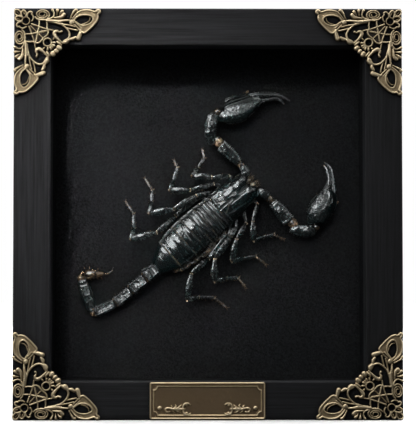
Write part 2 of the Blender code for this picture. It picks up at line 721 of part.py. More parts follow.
def make_scorpion(parts, cutters):
    body = bpy.data.objects.new("scorpion_place", None)
    body.location = (BODY_ORIGIN_X, BOARD_FRONT_Y, BODY_ORIGIN_Z)
    body.rotation_euler = (math.pi / 2, -BODY_SLANT, 0.0)
    parts.objects.link(body)

    def part(name, mesh, kind="cuticle"):
        made = add_part(name, mesh, kind, parts)
        made.parent = body
        return made

    def cutter(name, mesh):
        made = add_cutter(name, mesh, cutters)
        made.parent = body
        return made

    carapace = part("carapace", loft_mesh("carapace", CARAPACE_SECTIONS, TRUNK_SIDES))
    notch_mesh = bpy.data.meshes.new("notch")
    shape = bmesh.new()
    bmesh.ops.create_cone(
        shape,
        cap_ends=True,
        segments=NOTCH_SIDES,
        radius1=NOTCH_RADIUS * MM,
        radius2=NOTCH_RADIUS * MM,
        depth=NOTCH_HEIGHT * MM,
    )
    # the prism has a corner on its local +Y; turned so that it points back along the body
    turn = Matrix.Rotation(math.pi / 2, 4, "Z")
    there = Matrix.Translation(((NOTCH_DEPTH_AT + NOTCH_RADIUS) * MM, 0.0, 0.0))
    bmesh.ops.transform(shape, matrix=there @ turn, verts=shape.verts)
    shape.to_mesh(notch_mesh)
    shape.free()
    add_boolean(carapace, cutter("notch", notch_mesh), "DIFFERENCE")
    eye_mesh = bpy.data.meshes.new("eye_hump")
    shape = bmesh.new()
    bmesh.ops.create_uvsphere(shape, u_segments=EYE_SIDES, v_segments=EYE_RINGS, radius=MM)
    bmesh.ops.scale(shape, vec=EYE_SIZE, verts=shape.verts)
    bmesh.ops.translate(shape, vec=Vector(EYE_AT) * MM, verts=shape.verts)
    shape.to_mesh(eye_mesh)
    shape.free()
    add_boolean(carapace, cutter("eye_hump", eye_mesh), "UNION")

    abdomen = part("abdomen", loft_mesh("abdomen", abdomen_sections(), TRUNK_SIDES))
    add_boolean(abdomen, cutter("pecten", loft_mesh("pecten", PECTEN, LIMB_SIDES)), "UNION")

    trunk = CARAPACE_SECTIONS[:-1] + ABDOMEN_SECTIONS
    room = loft_mesh("trunk_clearance", trunk, TRUNK_SIDES, TRUNK_CLEARANCE)
    clearance = cutter("trunk_clearance", room)

    tail = part("tail", loft_mesh("tail", tail_sections(), SMALL_LIMB_SIDES))
    start, end, half_width, height = LAST_TAIL_SEGMENT
    radii = tuple(half_width * share for share in LAST_TAIL_TAPER)
    last = segment_sections((*start, height), (*end, height), radii, TAIL_FLATNESS)
    add_boolean(tail, cutter("tail_end", loft_mesh("tail_end", last, SMALL_LIMB_SIDES)), "UNION")
    part("telson", loft_mesh("telson", TELSON, SMALL_LIMB_SIDES), "sting")

    for side, mirror in (("left", 1), ("right", -1)):
        jaw = [(a, mirror * b, c, d, e) for a, b, c, d, e in CHELICERA]
        name = "chelicera_" + side
        add_boolean(part(name, loft_mesh(name, jaw, LIMB_SIDES)), clearance, "DIFFERENCE")

    arms = {"left": ARM_LEFT, "right": ARM_RIGHT}
    claws = {
        "left": (CLAW_LEFT_BASE, CLAW_LEFT_TURN, CLAW_LEFT, FINGER_LEFT),
        "right": (CLAW_RIGHT_BASE, CLAW_RIGHT_TURN, CLAW_RIGHT, FINGER_RIGHT),
    }
    for side, sections in arms.items():
        name = "arm_" + side
        add_boolean(part(name, loft_mesh(name, sections, SMALL_LIMB_SIDES)), clearance, "DIFFERENCE")
        wrist = loft_mesh("wrist_room_" + side, sections[-2:], SMALL_LIMB_SIDES, JOINT_CLEARANCE)
        wrist_room = cutter("wrist_room_" + side, wrist)
        base, turn, hand, finger = claws[side]
        hand = claw_sections(base, turn, hand)
        claw = part("claw_" + side, loft_mesh("claw_" + side, hand, CLAW_SIDES))
        finger = claw_sections(base, turn, finger)
        part("finger_" + side, loft_mesh("finger_" + side, finger, SMALL_LIMB_SIDES))
        room = loft_mesh("finger_room_" + side, finger, SMALL_LIMB_SIDES, JOINT_CLEARANCE)
        add_boolean(claw, cutter("finger_room_" + side, room), "DIFFERENCE")
        add_boolean(claw, wrist_room, "DIFFERENCE")

    for name in LEGS:
        upper, lower = leg_sections(name)
        leg = part(name, loft_mesh(name, upper, LIMB_SIDES))
        shin = cutter(name + "_shin", loft_mesh(name + "_shin", lower, LIMB_SIDES))
        add_boolean(leg, shin, "UNION")
        add_boolean(leg, clearance, "DIFFERENCE")


def main():
    clear_scene()
    parts = make_collection("framed_scorpion_specimen")
    cutters = make_collection("cutters")
    opening = make_rails(parts, cutters)
    make_inside(parts, opening)
    make_corners(parts)
    make_nameplate(parts, cutters)
    make_scorpion(parts, cutters)


main()
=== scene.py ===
"""The looks of a scorpion specimen in a black box frame: stained wood, antique brass, a clear pane, cuticle.

Lengths in the lists below are in mm and become metres when a mesh is made. The scorpion's own axes are
X to its head, Y to its left side and Z off the board.
"""

import math

import bpy
import numpy as np
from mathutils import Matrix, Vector


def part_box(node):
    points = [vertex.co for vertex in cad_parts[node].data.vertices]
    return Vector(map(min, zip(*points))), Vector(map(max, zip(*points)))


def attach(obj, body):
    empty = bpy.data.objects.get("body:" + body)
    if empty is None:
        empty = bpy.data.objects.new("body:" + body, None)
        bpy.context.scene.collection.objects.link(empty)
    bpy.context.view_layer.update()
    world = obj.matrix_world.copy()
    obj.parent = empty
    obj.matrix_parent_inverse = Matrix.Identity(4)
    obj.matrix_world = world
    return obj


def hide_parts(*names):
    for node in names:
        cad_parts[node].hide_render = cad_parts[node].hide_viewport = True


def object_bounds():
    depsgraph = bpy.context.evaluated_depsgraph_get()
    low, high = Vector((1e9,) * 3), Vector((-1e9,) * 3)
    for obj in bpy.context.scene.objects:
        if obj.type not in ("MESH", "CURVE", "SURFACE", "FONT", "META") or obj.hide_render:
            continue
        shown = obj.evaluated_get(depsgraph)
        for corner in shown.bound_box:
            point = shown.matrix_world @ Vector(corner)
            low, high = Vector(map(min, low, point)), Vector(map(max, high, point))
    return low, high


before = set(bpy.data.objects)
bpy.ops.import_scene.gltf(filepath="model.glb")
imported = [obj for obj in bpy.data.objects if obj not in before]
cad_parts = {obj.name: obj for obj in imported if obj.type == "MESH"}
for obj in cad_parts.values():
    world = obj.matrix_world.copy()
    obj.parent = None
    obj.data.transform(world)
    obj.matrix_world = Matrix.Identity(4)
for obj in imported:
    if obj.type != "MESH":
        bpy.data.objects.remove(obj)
CAD_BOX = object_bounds()

MM = 0.001
BODY = "root"

# Places read from the solids
WOOD_FRONT_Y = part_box("rail_top")[0].y
BOARD_FRONT_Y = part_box("backing_board")[0].y
METAL_BACK_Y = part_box("nameplate")[1].y
FRAME_LOW, FRAME_HIGH = CAD_BOX[0], CAD_BOX[1]
PLATE_LOW, PLATE_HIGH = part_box("nameplate")

BODY_ORIGIN = Vector((0.0048, BOARD_FRONT_Y, 0.1018))
BODY_SLANT = math.radians(42.0)


# Smooth random fields
def lattice_noise(points, seed=0):
    """Smooth noise from -1 to 1; one unit of the points is one lattice cell."""
    cell = np.floor(points).astype(np.int64)
    part = points - cell
    part = part * part * part * (part * (part * 6 - 15) + 10)
    total = np.zeros(len(points))
    for corner in range(8):
        weight = np.ones(len(points))
        key = np.full(len(points), seed * 668265263 + 374761393, np.int64)
        for axis, prime in enumerate((73856093, 19349663, 83492791)):
            step = corner >> axis & 1
            key ^= (cell[:, axis] + step) * prime
            weight *= part[:, axis] if step else 1 - part[:, axis]
        key = (key ^ (key >> 13)) * 1274126177
        key = (key ^ (key >> 16)) & 0xFFFFFF
        total += weight * (key / 0x7FFFFF - 1)
    return total


def field(points, scale, seed=0, octaves=3, gain=0.5):
    """Layered noise from about -1 to 1; scale is the size of its largest forms in mm."""
    flat = points.reshape(-1, 3) / scale
    total = np.zeros(len(flat))
    weight = 1.0
    for octave in range(octaves):
        total += weight * lattice_noise(flat * 2.0**octave + 17.3 * octave, seed + octave)
        weight *= gain
    return total.reshape(points.shape[:-1])


def ridges(points, scale, seed=0, octaves=3, gain=0.55):
    """Noise with sharp crests, from 0 to 1."""
    flat = points.reshape(-1, 3) / scale
    total = np.zeros(len(flat))
    weight, whole = 1.0, 0.0
    for octave in range(octaves):
        layer = 1 - np.abs(lattice_noise(flat * 2.0**octave + 31.7 * octave, seed + octave)) * 1.6
        total += weight * layer
        whole += weight
        weight *= gain
    return np.clip(total / whole, 0, 1).reshape(points.shape[:-1])


def ramp(value, low, high):
    share = np.clip((value - low) / (high - low), 0, 1)
    return share * share * (3 - 2 * share)


def bell(value, width):
    return np.exp(-((value / width) ** 2))


# Meshes
def new_object(name, points, faces, tints=None, sharp_degrees=None):
    mesh = bpy.data.meshes.new(name)
    mesh.from_pydata(points.tolist(), [], faces)
    mesh.shade_smooth()
    if sharp_degrees is not None:
        mesh.set_sharp_from_angle(angle=math.radians(sharp_degrees))
    if tints is not None:
        attribute = mesh.attributes.new("mask", "FLOAT_COLOR", "POINT")
        colours = np.ones((len(points), 4), np.float32)
        colours[:, :3] = tints[:, :3]
        attribute.data.foreach_set("color", colours.ravel())
        painted_crease_shade = mesh.attributes.new("painted_crease_shade", "FLOAT", "POINT")
        painted_crease_shade.data.foreach_set("value", np.ascontiguousarray(tints[:, 3], np.float32))
    made = bpy.data.objects.new(name, mesh)
    bpy.context.scene.collection.objects.link(made)
    return made


class Shape:
    """Closed surfaces in the scorpion's axes, in mm, that become one mesh.

    Every vertex has four tints: tan for membranes and joints, a pale tint for dusty cuticle and for painted
    sheen on crests and lit faces, brown for the sting and a last one for painted shade in creases.
    """

    def __init__(self):
        self.points, self.faces, self.tints, self.count = [], [], [], 0

    def add(self, points, faces, tint=(0.0, 0.0, 0.0)):
        points = np.asarray(points, float).reshape(-1, 3)
        tint = np.asarray(tint, float)
        if tint.ndim == 1:
            tint = np.broadcast_to((*tint, 0.0), (len(points), 4))
        self.points.append(points)
        self.tints.append(tint)
        self.faces.extend([tuple(corner + self.count for corner in face) for face in faces])
        self.count += len(points)

    def make(self, name):
        local = np.concatenate(self.points) * MM
        cos, sin = math.cos(BODY_SLANT), math.sin(BODY_SLANT)
        world = np.empty_like(local)
        world[:, 0] = BODY_ORIGIN.x + cos * local[:, 0] - sin * local[:, 1]
        world[:, 1] = BODY_ORIGIN.y - local[:, 2]
        world[:, 2] = BODY_ORIGIN.z + sin * local[:, 0] + cos * local[:, 1]
        return new_object(name, world, self.faces, np.concatenate(self.tints))


def spline(rows, count):
    """Rows of numbers passed through smoothly, count of them."""
    rows = np.asarray(rows, float)
    if len(rows) == 2:
        share = np.linspace(0, 1, count)[:, None]
        return rows[0] * (1 - share) + rows[1] * share
    chord = np.linalg.norm(np.diff(rows[:, :3], axis=0), axis=1) + 1e-6
    knots = np.concatenate([[0], np.cumsum(chord)])
    slopes = np.empty_like(rows)
    slopes[1:-1] = (rows[2:] - rows[:-2]) / (knots[2:] - knots[:-2])[:, None]
    slopes[0] = (rows[1] - rows[0]) / chord[0]
    slopes[-1] = (rows[-1] - rows[-2]) / chord[-1]
    places = np.linspace(0, knots[-1], count)
    span = np.clip(np.searchsorted(knots, places, side="right") - 1, 0, len(chord) - 1)
    size = chord[span][:, None]
    t = (places - knots[span])[:, None] / size
    first, second = rows[span], rows[span + 1]
    t2, t3 = t * t, t * t * t
    return (
        first * (2 * t3 - 3 * t2 + 1)
        + slopes[span] * size * (t3 - 2 * t2 + t)
        + second * (3 * t2 - 2 * t3)
        + slopes[span + 1] * size * (t3 - t2)
    )


# How far round a crease the painted shade reaches, in mm, and how strong the painted highlight on crests is
CREASE_SHADE_REACH = 0.7
CREST_PAINTED_HIGHLIGHT = 0.08


def blurred(values, axis, reach):
    """The mean over so many cells to both sides; the second axis runs round and round."""
    reach = int(np.clip(round(reach), 1, 8))
    padded = np.pad(
        values, [(reach, reach) if axis == k else (0, 0) for k in (0, 1)], mode="wrap" if axis else "edge"
    )
    total = 0
    for step in range(2 * reach + 1):
        total = total + np.take(padded, range(step, step + values.shape[axis]), axis)
    return total / (2 * reach + 1)


class Tube:
    """A closed surface round a line of sections (along, across, height, half width, half height)."""

    def __init__(self, rows, sides, power=2.0, round_start=0.0, round_end=0.0):
        rows = np.asarray(rows, float)
        self.rows = rows
        middle = rows[:, :3]
        ahead = np.gradient(middle, axis=0)
        ahead /= np.linalg.norm(ahead, axis=1)[:, None] + 1e-9
        across = np.cross((0, 0, 1), ahead)
        across /= np.linalg.norm(across, axis=1)[:, None] + 1e-9
        above = np.cross(ahead, across)
        self.share = np.linspace(0, 1, len(rows))
        swell = np.ones(len(rows))
        if round_start:
            x = np.clip(self.share / round_start, 0, 1)
            swell *= np.sqrt(np.clip(1 - (1 - x) ** 2, 0.0025, 1))
        if round_end:
            x = np.clip((1 - self.share) / round_end, 0, 1)
            swell *= np.sqrt(np.clip(1 - (1 - x) ** 2, 0.0025, 1))
        self.angle = np.arange(sides) * math.tau / sides
        cos, sin = np.cos(self.angle), np.sin(self.angle)
        wide = np.sign(cos) * np.abs(cos) ** (2 / power)
        high = np.sign(sin) * np.abs(sin) ** (2 / power)
        half_width = (rows[:, 3] * swell)[:, None, None]
        half_height = (rows[:, 4] * swell)[:, None, None]
        self.points = (
            middle[:, None, :]
            + across[:, None, :] * half_width * wide[None, :, None]
            + above[:, None, :] * half_height * high[None, :, None]
        )
        out_wide = wide[None, :, None] / np.maximum(half_width, 0.05)
        out_high = high[None, :, None] / np.maximum(half_height, 0.05)
        out = across[:, None, :] * out_wide + above[:, None, :] * out_high
        self.out = out / (np.linalg.norm(out, axis=2)[:, :, None] + 1e-9)
        self.swell = swell[:, None]
        self.share = self.share[:, None]
        self.angle = self.angle[None, :]
        self.tint = np.zeros((*self.points.shape[:2], 4))

    def push(self, distance):
        """Moves the surface out, and paints shade into the narrow creases and a highlight onto the crests
        that this makes.
        """
        distance = np.broadcast_to(distance, self.points.shape[:2])
        length = np.linalg.norm(np.diff(self.rows[:, :3], axis=0), axis=1).mean()
        girth = math.tau * self.rows[:, 3:5].mean() / self.points.shape[1]
        around = blurred(blurred(distance, 0, CREASE_SHADE_REACH / length), 1, CREASE_SHADE_REACH / girth)
        # Painted shade where the surface lies below its surroundings, and a painted highlight on the crests
        # of the upper side.
        crease_shade_share = ramp(around - distance, 0.03, 0.17)
        crest = ramp(distance - around, 0.04, 0.16) * np.clip(np.sin(self.angle), 0, 1)
        self.tint[:, :, 3] = np.maximum(self.tint[:, :, 3], crease_shade_share)
        self.paint(dust_and_painted_sheen=CREST_PAINTED_HIGHLIGHT * crest)
        self.points = self.points + self.out * (distance * self.swell)[:, :, None]
        return self

    def paint(self, tan=0.0, dust_and_painted_sheen=0.0, brown=0.0):
        for channel, value in enumerate((tan, dust_and_painted_sheen, brown)):
            value = np.broadcast_to(value, self.points.shape[:2])
            self.tint[:, :, channel] = np.maximum(self.tint[:, :, channel], value)
        return self

    def into(self, shape):
        rings, sides = self.points.shape[:2]
        ring = np.arange(rings - 1)[:, None] * sides
        side = np.arange(sides)[None, :]
        beside = (side + 1) % sides
        quads = np.stack([ring + side, ring + beside, ring + sides + beside, ring + sides + side], -1)
        faces = quads.reshape(-1, 4).tolist()
        first, last = rings * sides, rings * sides + 1
        end = (rings - 1) * sides
        for here in range(sides):
            there = (here + 1) % sides
            faces.append((there, here, first))
            faces.append((end + here, end + there, last))
        ends = [self.points[0].mean(0), self.points[-1].mean(0)]
        points = np.concatenate([self.points.reshape(-1, 3), ends])
        tints = np.concatenate([self.tint.reshape(-1, 4), [self.tint[0].mean(0), self.tint[-1].mean(0)]])
        shape.add(points, faces, tints)
        return self


def bead(shape, place, radii, tint=(0.0, 0.0, 0.0), sides=12, direction=(1.0, 0.0)):
    """An egg with its long axis along a direction in the board's plane."""
    long, wide, high = radii if isinstance(radii, tuple) else (radii, radii, radii)
    axis = np.array([*direction, 0.0])
    axis /= np.linalg.norm(axis)
    start, end = np.array(place) - axis * long, np.array(place) + axis * long
    rows = spline([(*start, wide, high), (*end, wide, high)], max(sides * 3 // 4, 7))
    Tube(rows, sides, 2.0, 0.5, 0.5).paint(*tint).into(shape)


def bristle(shape, base, tip, radius=0.07, bend=0.0, tint=(0.8, 0.0, 0.0)):
    """A thin closed cone, bent a little off the board."""
    base, tip = np.asarray(base, float), np.asarray(tip, float)
    middle = (base + tip) / 2 + np.array([0.0, 0.0, bend])
    ahead = tip - base
    ahead /= np.linalg.norm(ahead) + 1e-9
    across = np.cross(ahead, (0.0, 0.0, 1.0))
    if np.linalg.norm(across) < 0.1:
        across = np.cross(ahead, (0.0, 1.0, 0.0))
    across /= np.linalg.norm(across)
    above = np.cross(across, ahead)
    points = []
    for spot, size in ((base, radius), (middle, radius * 0.7)):
        for turn in range(4):
            angle = math.tau * turn / 4
            points.append(spot + (across * math.cos(angle) + above * math.sin(angle)) * size)
    points.append(tip)
    faces = [(3, 2, 1, 0)]
    for here in range(4):
        there = (here + 1) % 4
        faces.append((here, there, 4 + there, 4 + here))
        faces.append((4 + here, 4 + there, 8))
    shape.add(points, faces, tint)


# Materials
class Surface:
    """A node material; each method adds one node and gives back its output."""

    def __init__(self, name):
        self.material = bpy.data.materials.new(name)
        self.material.use_nodes = True
        self.tree = self.material.node_tree
        self.shader = self.tree.nodes["Principled BSDF"]
        self.place = self.tree.nodes.new("ShaderNodeTexCoord").outputs["Object"]

    def node(self, kind, settings=(), **inputs):
        made = self.tree.nodes.new(kind)
        for key, value in dict(settings).items():
            setattr(made, key, value)
        for key, value in inputs.items():
            self.put(made.inputs[key.replace("_", " ")], value)
        return made

    def put(self, socket, value):
        if isinstance(value, bpy.types.NodeSocket):
            self.tree.links.new(value, socket)
        else:
            socket.default_value = value

    def stretched(self, scale, turn=(0.0, 0.0, 0.0)):
        return self.node("ShaderNodeMapping", Vector=self.place, Scale=scale, Rotation=turn).outputs[0]

    def noise(self, vector, scale, detail=4.0, roughness=0.55, distortion=0.0):
        made = self.node(
            "ShaderNodeTexNoise", Vector=vector, Scale=scale, Detail=detail, Roughness=roughness,
            Distortion=distortion
        )
        return made.outputs["Fac"]

    def mapped(self, value, low, high, to_low=0.0, to_high=1.0):
        made = self.node("ShaderNodeMapRange")
        for socket, number in zip(made.inputs[:5], (value, low, high, to_low, to_high)):
            self.put(socket, number)
        return made.outputs[0]

    def mixed(self, share, first, second):
        made = self.node("ShaderNodeMix", (("data_type", "RGBA"),))
        self.put(made.inputs[0], share)
        for socket, value in ((made.inputs[6], first), (made.inputs[7], second)):
            self.put(socket, value if isinstance(value, bpy.types.NodeSocket) else (*value, 1.0))
        return made.outputs[2]

    def maths(self, operation, first, second=0.5):
        made = self.node("ShaderNodeMath", (("operation", operation),))
        self.put(made.inputs[0], first)
        self.put(made.inputs[1], second)
        return made.outputs[0]

    def bump(self, height, strength, distance, below=None):
        made = self.node("ShaderNodeBump", Height=height, Strength=strength, Distance=distance)
        if below is not None:
            self.put(made.inputs["Normal"], below)
        return made.outputs[0]

    def set(self, **inputs):
        for key, value in inputs.items():
            self.put(self.shader.inputs[key.replace("_", " ")], value)
        return self.material


def wood_surface(name, lying):
    """Black-stained wood with its fine grain along the rail."""
    surface = Surface(name)
    along, fine, broad = 30.0, 1000.0, 340.0
    grain = surface.stretched((along, fine, fine) if lying else (fine, fine, along))
    bands = surface.stretched((11.0, broad, broad) if lying else (broad, broad, 11.0))
    fibres = surface.noise(grain, 1.0, 5.0, 0.6)
    streaks = surface.noise(bands, 1.0, 4.0, 0.55, 0.3)
    wear = surface.noise(surface.place, 60.0, 3.0)
    depth = surface.maths(
        "MULTIPLY", surface.mapped(fibres, 0.3, 0.7), surface.mapped(streaks, 0.25, 0.75, 0.4, 1.0)
    )
    colour = surface.mixed(depth, (0.0030, 0.0031, 0.0036), (0.0260, 0.0265, 0.0295))
    colour = surface.mixed(surface.mapped(wear, 0.45, 0.8, 0.0, 0.35), colour, (0.016, 0.016, 0.0175))
    rough = surface.mapped(fibres, 0.2, 0.8, 0.62, 0.46)
    # Painted shade: the colour darkens to near black, and the roughness rises, where other parts crowd the
    # wood within 3.4 mm, as under and round the brass corners.
    painted_shade = surface.node("ShaderNodeAmbientOcclusion", {"samples": 6}, Distance=0.0034).outputs["AO"]
    painted_shade = surface.mapped(painted_shade, 0.94, 0.64)
    colour = surface.mixed(painted_shade, colour, (0.0012, 0.0012, 0.0014))
    rough = surface.maths("ADD", rough, surface.maths("MULTIPLY", painted_shade, 0.36))
    bump = surface.bump(fibres, 0.35, 0.00012)
    bump = surface.bump(streaks, 0.25, 0.00025, bump)
    return surface.set(Base_Color=colour, Roughness=rough, Normal=bump, Specular_IOR_Level=0.18)


def lining_surface(name):
    """Matt black board with a fine leathery grain."""
    surface = Surface(name)
    fine = surface.noise(surface.place, 1050.0, 4.0, 0.7)
    cloud = surface.noise(surface.place, 90.0, 3.0)
    colour = surface.mixed(
        surface.mapped(fine, 0.35, 0.68), (0.0022, 0.0022, 0.0026), (0.0262, 0.0262, 0.0290)
    )
    colour = surface.mixed(surface.mapped(cloud, 0.3, 0.8, 0.0, 0.3), colour, (0.011, 0.011, 0.012))
    bump = surface.bump(fine, 0.8, 0.0005)
    return surface.set(Base_Color=colour, Roughness=0.82, Normal=bump, Specular_IOR_Level=0.12)


BRASS_LOW, BRASS_FLAT, BRASS_CREST = (0.024, 0.017, 0.010), (0.295, 0.222, 0.127), (0.60, 0.483, 0.308)
CORNER_CREST, CORNER_DEPTH, PLATE_CREST, PLATE_DEPTH = 1.35, 1.0, 1.12, 0.55
PLATE_LOW_COLOUR, PLATE_FLAT_COLOUR = (0.120, 0.079, 0.038), (0.275, 0.182, 0.084)


def brass_surface(name, front_y, depth, low=BRASS_LOW, flat=BRASS_FLAT):
    """Antique brass: polished on the crests, dark in the recesses."""
    surface = Surface(name)
    height = surface.node("ShaderNodeSeparateXYZ", Vector=surface.place).outputs[1]
    crest = surface.mapped(height, front_y + depth, front_y)
    stain = surface.noise(surface.place, 420.0, 5.0, 0.6)
    fine = surface.noise(surface.place, 2600.0, 3.0, 0.6)
    crest = surface.maths("ADD", crest, surface.mapped(stain, 0.25, 0.75, -0.14, 0.14))
    colour = surface.mixed(surface.mapped(crest, 0.1, 0.5), low, flat)
    colour = surface.mixed(surface.mapped(crest, 0.5, 0.9), colour, BRASS_CREST)
    rough = surface.mapped(crest, 0.1, 1.0, 0.62, 0.42)
    metal = surface.mapped(crest, 0.1, 0.6, 0.5, 0.86)
    bump = surface.bump(fine, 0.3, 0.00006)
    bump = surface.bump(stain, 0.25, 0.00015, bump)
    return surface.set(Base_Color=colour, Roughness=rough, Metallic=metal, Normal=bump)


def cuticle_surface(name):
    """Glossy teal-black cuticle with tan joints, pale dust with painted sheen, a brown sting and painted
    shade in creases where the masks say so.
    """
    surface = Surface(name)
    mask = surface.node("ShaderNodeAttribute", (("attribute_name", "mask"),)).outputs["Color"]
    parts = surface.node("ShaderNodeSeparateColor", Color=mask)
    tan, dust_and_painted_sheen, brown = parts.outputs[0], parts.outputs[1], parts.outputs[2]
    cloud = surface.noise(surface.place, 260.0, 4.0, 0.6)
    fine = surface.noise(surface.place, 1700.0, 5.0, 0.62)
    colour = surface.mixed(
        surface.mapped(cloud, 0.35, 0.7), (0.0008, 0.0040, 0.0044), (0.0026, 0.0128, 0.0135)
    )
    # Pale grey-blue: dust on the cuticle, and painted sheen on crests and lit faces.
    pale_dust_and_sheen = surface.maths("MULTIPLY", dust_and_painted_sheen, surface.mapped(fine, 0.36, 0.60, 0.25, 1.0))
    colour = surface.mixed(pale_dust_and_sheen, colour, (0.205, 0.225, 0.240))
    pale = surface.mixed(dust_and_painted_sheen, (0.97, 0.62, 0.36), (0.98, 0.90, 0.64))
    amber = surface.mixed(surface.mapped(fine, 0.38, 0.62), (0.20, 0.098, 0.046), pale)
    colour = surface.mixed(tan, colour, amber)
    bulb = surface.mixed(surface.mapped(cloud, 0.3, 0.7), (0.060, 0.037, 0.021), (0.175, 0.112, 0.064))
    colour = surface.mixed(brown, colour, bulb)
    # Painted shade: nearly black in the creases, with a higher roughness there.
    painted_crease_shade = surface.node("ShaderNodeAttribute", (("attribute_name", "painted_crease_shade"),)).outputs["Fac"]
    colour = surface.mixed(surface.mapped(painted_crease_shade, 0.0, 1.0, 0.0, 0.92), colour, (0.0010, 0.0012, 0.0012))
    rough = surface.maths(
        "ADD", surface.mapped(fine, 0.3, 0.7, 0.16, 0.25), surface.mapped(dust_and_painted_sheen, 0.0, 1.0, 0.0, 0.24)
    )
    rough = surface.maths("ADD", rough, surface.mapped(painted_crease_shade, 0.0, 1.0, 0.0, 0.60))
    bump = surface.bump(fine, 0.25, 0.00002)
    return surface.set(Base_Color=colour, Roughness=rough, Normal=bump, IOR=1.9, Specular_IOR_Level=1.0)


def glass_surface(name):
    """A thin clear pane that lets the lamps through, with a faint reflection."""
    surface = Surface(name)
    tree = surface.tree
    clear = surface.node("ShaderNodeBsdfTransparent", Color=(0.985, 0.992, 0.990, 1.0))
    sheen = surface.node("ShaderNodeBsdfGlossy", Color=(1.0, 1.0, 1.0, 1.0), Roughness=0.02)
    edge = surface.node("ShaderNodeFresnel", IOR=1.2)
    both = surface.node("ShaderNodeMixShader")
    tree.links.new(edge.outputs[0], both.inputs[0])
    tree.links.new(clear.outputs[0], both.inputs[1])
    tree.links.new(sheen.outputs[0], both.inputs[2])
    tree.links.new(both.outputs[0], tree.nodes["Material Output"].inputs["Surface"])
    tree.nodes.remove(surface.shader)
    return surface.material


def dress(node_name, material):
    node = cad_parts[node_name]
    node.data.materials.clear()
    node.data.materials.append(material)


def piece(made, material, slot, *nodes):
    made.data.materials.append(material)
    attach(made, BODY)
    if nodes:
        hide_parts(*nodes)
    return made


# Raised metalwork from strokes
class Relief:
    """A flat casting on a square grid: a height and a signed distance to its outline."""

    def __init__(self, width, height, cell):
        self.cell = cell
        self.u = np.arange(-1.0, width + 1.0, cell)
        self.v = np.arange(-1.0, height + 1.0, cell)
        self.grid_u, self.grid_v = np.meshgrid(self.u, self.v, indexing="ij")
        self.outline = np.full(self.grid_u.shape, 9.0)
        self.top = np.zeros(self.grid_u.shape)

    def stroke(self, points, radii, closed=False, base=0.45, crown=0.95, smooth=True):
        """A rounded ridge along a line; radii may be one number."""
        points = np.asarray(points, float)
        radii = np.broadcast_to(np.asarray(radii, float), (len(points),))
        rows = np.column_stack([points, np.zeros(len(points)), radii])
        if closed:
            rows = np.concatenate([rows[-1:], rows, rows[:2]])
        if smooth and len(rows) > 2:
            length = np.linalg.norm(np.diff(rows[:, :2], axis=0), axis=1).sum()
            rows = spline(rows, max(int(length / 0.3), 6))
            if closed:
                share = 1.0 / (len(points) + 2)
                rows = rows[int(len(rows) * share * 0.5):]
        for (x0, y0, _, r0), (x1, y1, _, r1) in zip(rows, rows[1:]):
            self.capsule(x0, y0, r0, x1, y1, r1, base, crown)

    def capsule(self, x0, y0, r0, x1, y1, r1, base, crown):
        reach = max(r0, r1) + 0.6
        first_u, last_u = np.searchsorted(self.u, (min(x0, x1) - reach, max(x0, x1) + reach))
        first_v, last_v = np.searchsorted(self.v, (min(y0, y1) - reach, max(y0, y1) + reach))
        window = (slice(first_u, last_u), slice(first_v, last_v))
        u, v = self.grid_u[window], self.grid_v[window]
        run_x, run_y = x1 - x0, y1 - y0
        share = np.clip(((u - x0) * run_x + (v - y0) * run_y) / (run_x**2 + run_y**2 + 1e-9), 0, 1)
        distance = np.hypot(u - x0 - share * run_x, v - y0 - share * run_y)
        radius = r0 + (r1 - r0) * share
        self.outline[window] = np.minimum(self.outline[window], distance - radius)
        rise = np.sqrt(np.clip(1 - (distance / radius) ** 3, 0, 1)) * np.minimum(radius * 1.6, crown)
        height = np.where(distance < radius, base + rise, 0)
        self.top[window] = np.maximum(self.top[window], height)

    def fill(self, points, height, holes=()):
        """A flat field inside an outline, less its holes."""
        inside = self.within(points)
        for hole in holes:
            inside &= ~self.within(hole)
        self.outline[inside] = np.minimum(self.outline[inside], -self.cell)
        self.top[inside] = np.maximum(self.top[inside], height)

    def within(self, points):
        inside = np.zeros(self.grid_u.shape, bool)
        points = np.asarray(points, float)
        for (x0, y0), (x1, y1) in zip(points, np.roll(points, -1, axis=0)):
            if y0 == y1:
                continue
            crosses = (self.grid_v > y0) != (self.grid_v > y1)
            where = x0 + (self.grid_v - y0) * (x1 - x0) / (y1 - y0)
            inside ^= crosses & (self.grid_u < where)
        return inside

    def mesh(self):
        """Points (u, v, height) and faces: the top, the rim wall and the flat back."""
        inside = self.outline < 0
        cells = inside[:-1, :-1] | inside[1:, :-1] | inside[:-1, 1:] | inside[1:, 1:]
        slope_u, slope_v = np.gradient(self.outline, self.cell)
        steep = np.maximum(slope_u**2 + slope_v**2, 0.6)
        shift = np.where(inside, 0, np.clip(self.outline, 0, self.cell * 1.2)) / steep
        u = self.grid_u - slope_u * shift
        v = self.grid_v - slope_v * shift
        top = np.where(inside, np.maximum(self.top, 0.35), 0.4)
        used = np.zeros(inside.shape, bool)
        for du in (0, 1):
            for dv in (0, 1):
                used[du:used.shape[0] - 1 + du, dv:used.shape[1] - 1 + dv] |= cells
        index = np.full(inside.shape, -1)
        index[used] = np.arange(used.sum())
        count = int(used.sum())
        front = np.column_stack([u[used], v[used], top[used]])
        back = np.column_stack([u[used], v[used], np.zeros(count)])
        a, b = index[:-1, :-1][cells], index[1:, :-1][cells]
        c, d = index[1:, 1:][cells], index[:-1, 1:][cells]
        quads = np.column_stack([a, b, c, d])
        under = quads[:, ::-1] + count
        edges = np.concatenate([quads[:, [0, 1]], quads[:, [1, 2]], quads[:, [2, 3]], quads[:, [3, 0]]])
        key = np.sort(edges, axis=1)
        _, first, times = np.unique(
            key[:, 0] * (count + 1) + key[:, 1], return_index=True, return_counts=True
        )
        rim = edges[first[times == 1]]
        wall = np.column_stack([rim[:, 1], rim[:, 0], rim[:, 0] + count, rim[:, 1] + count])
        return np.concatenate([front, back]), np.concatenate([quads, under, wall])


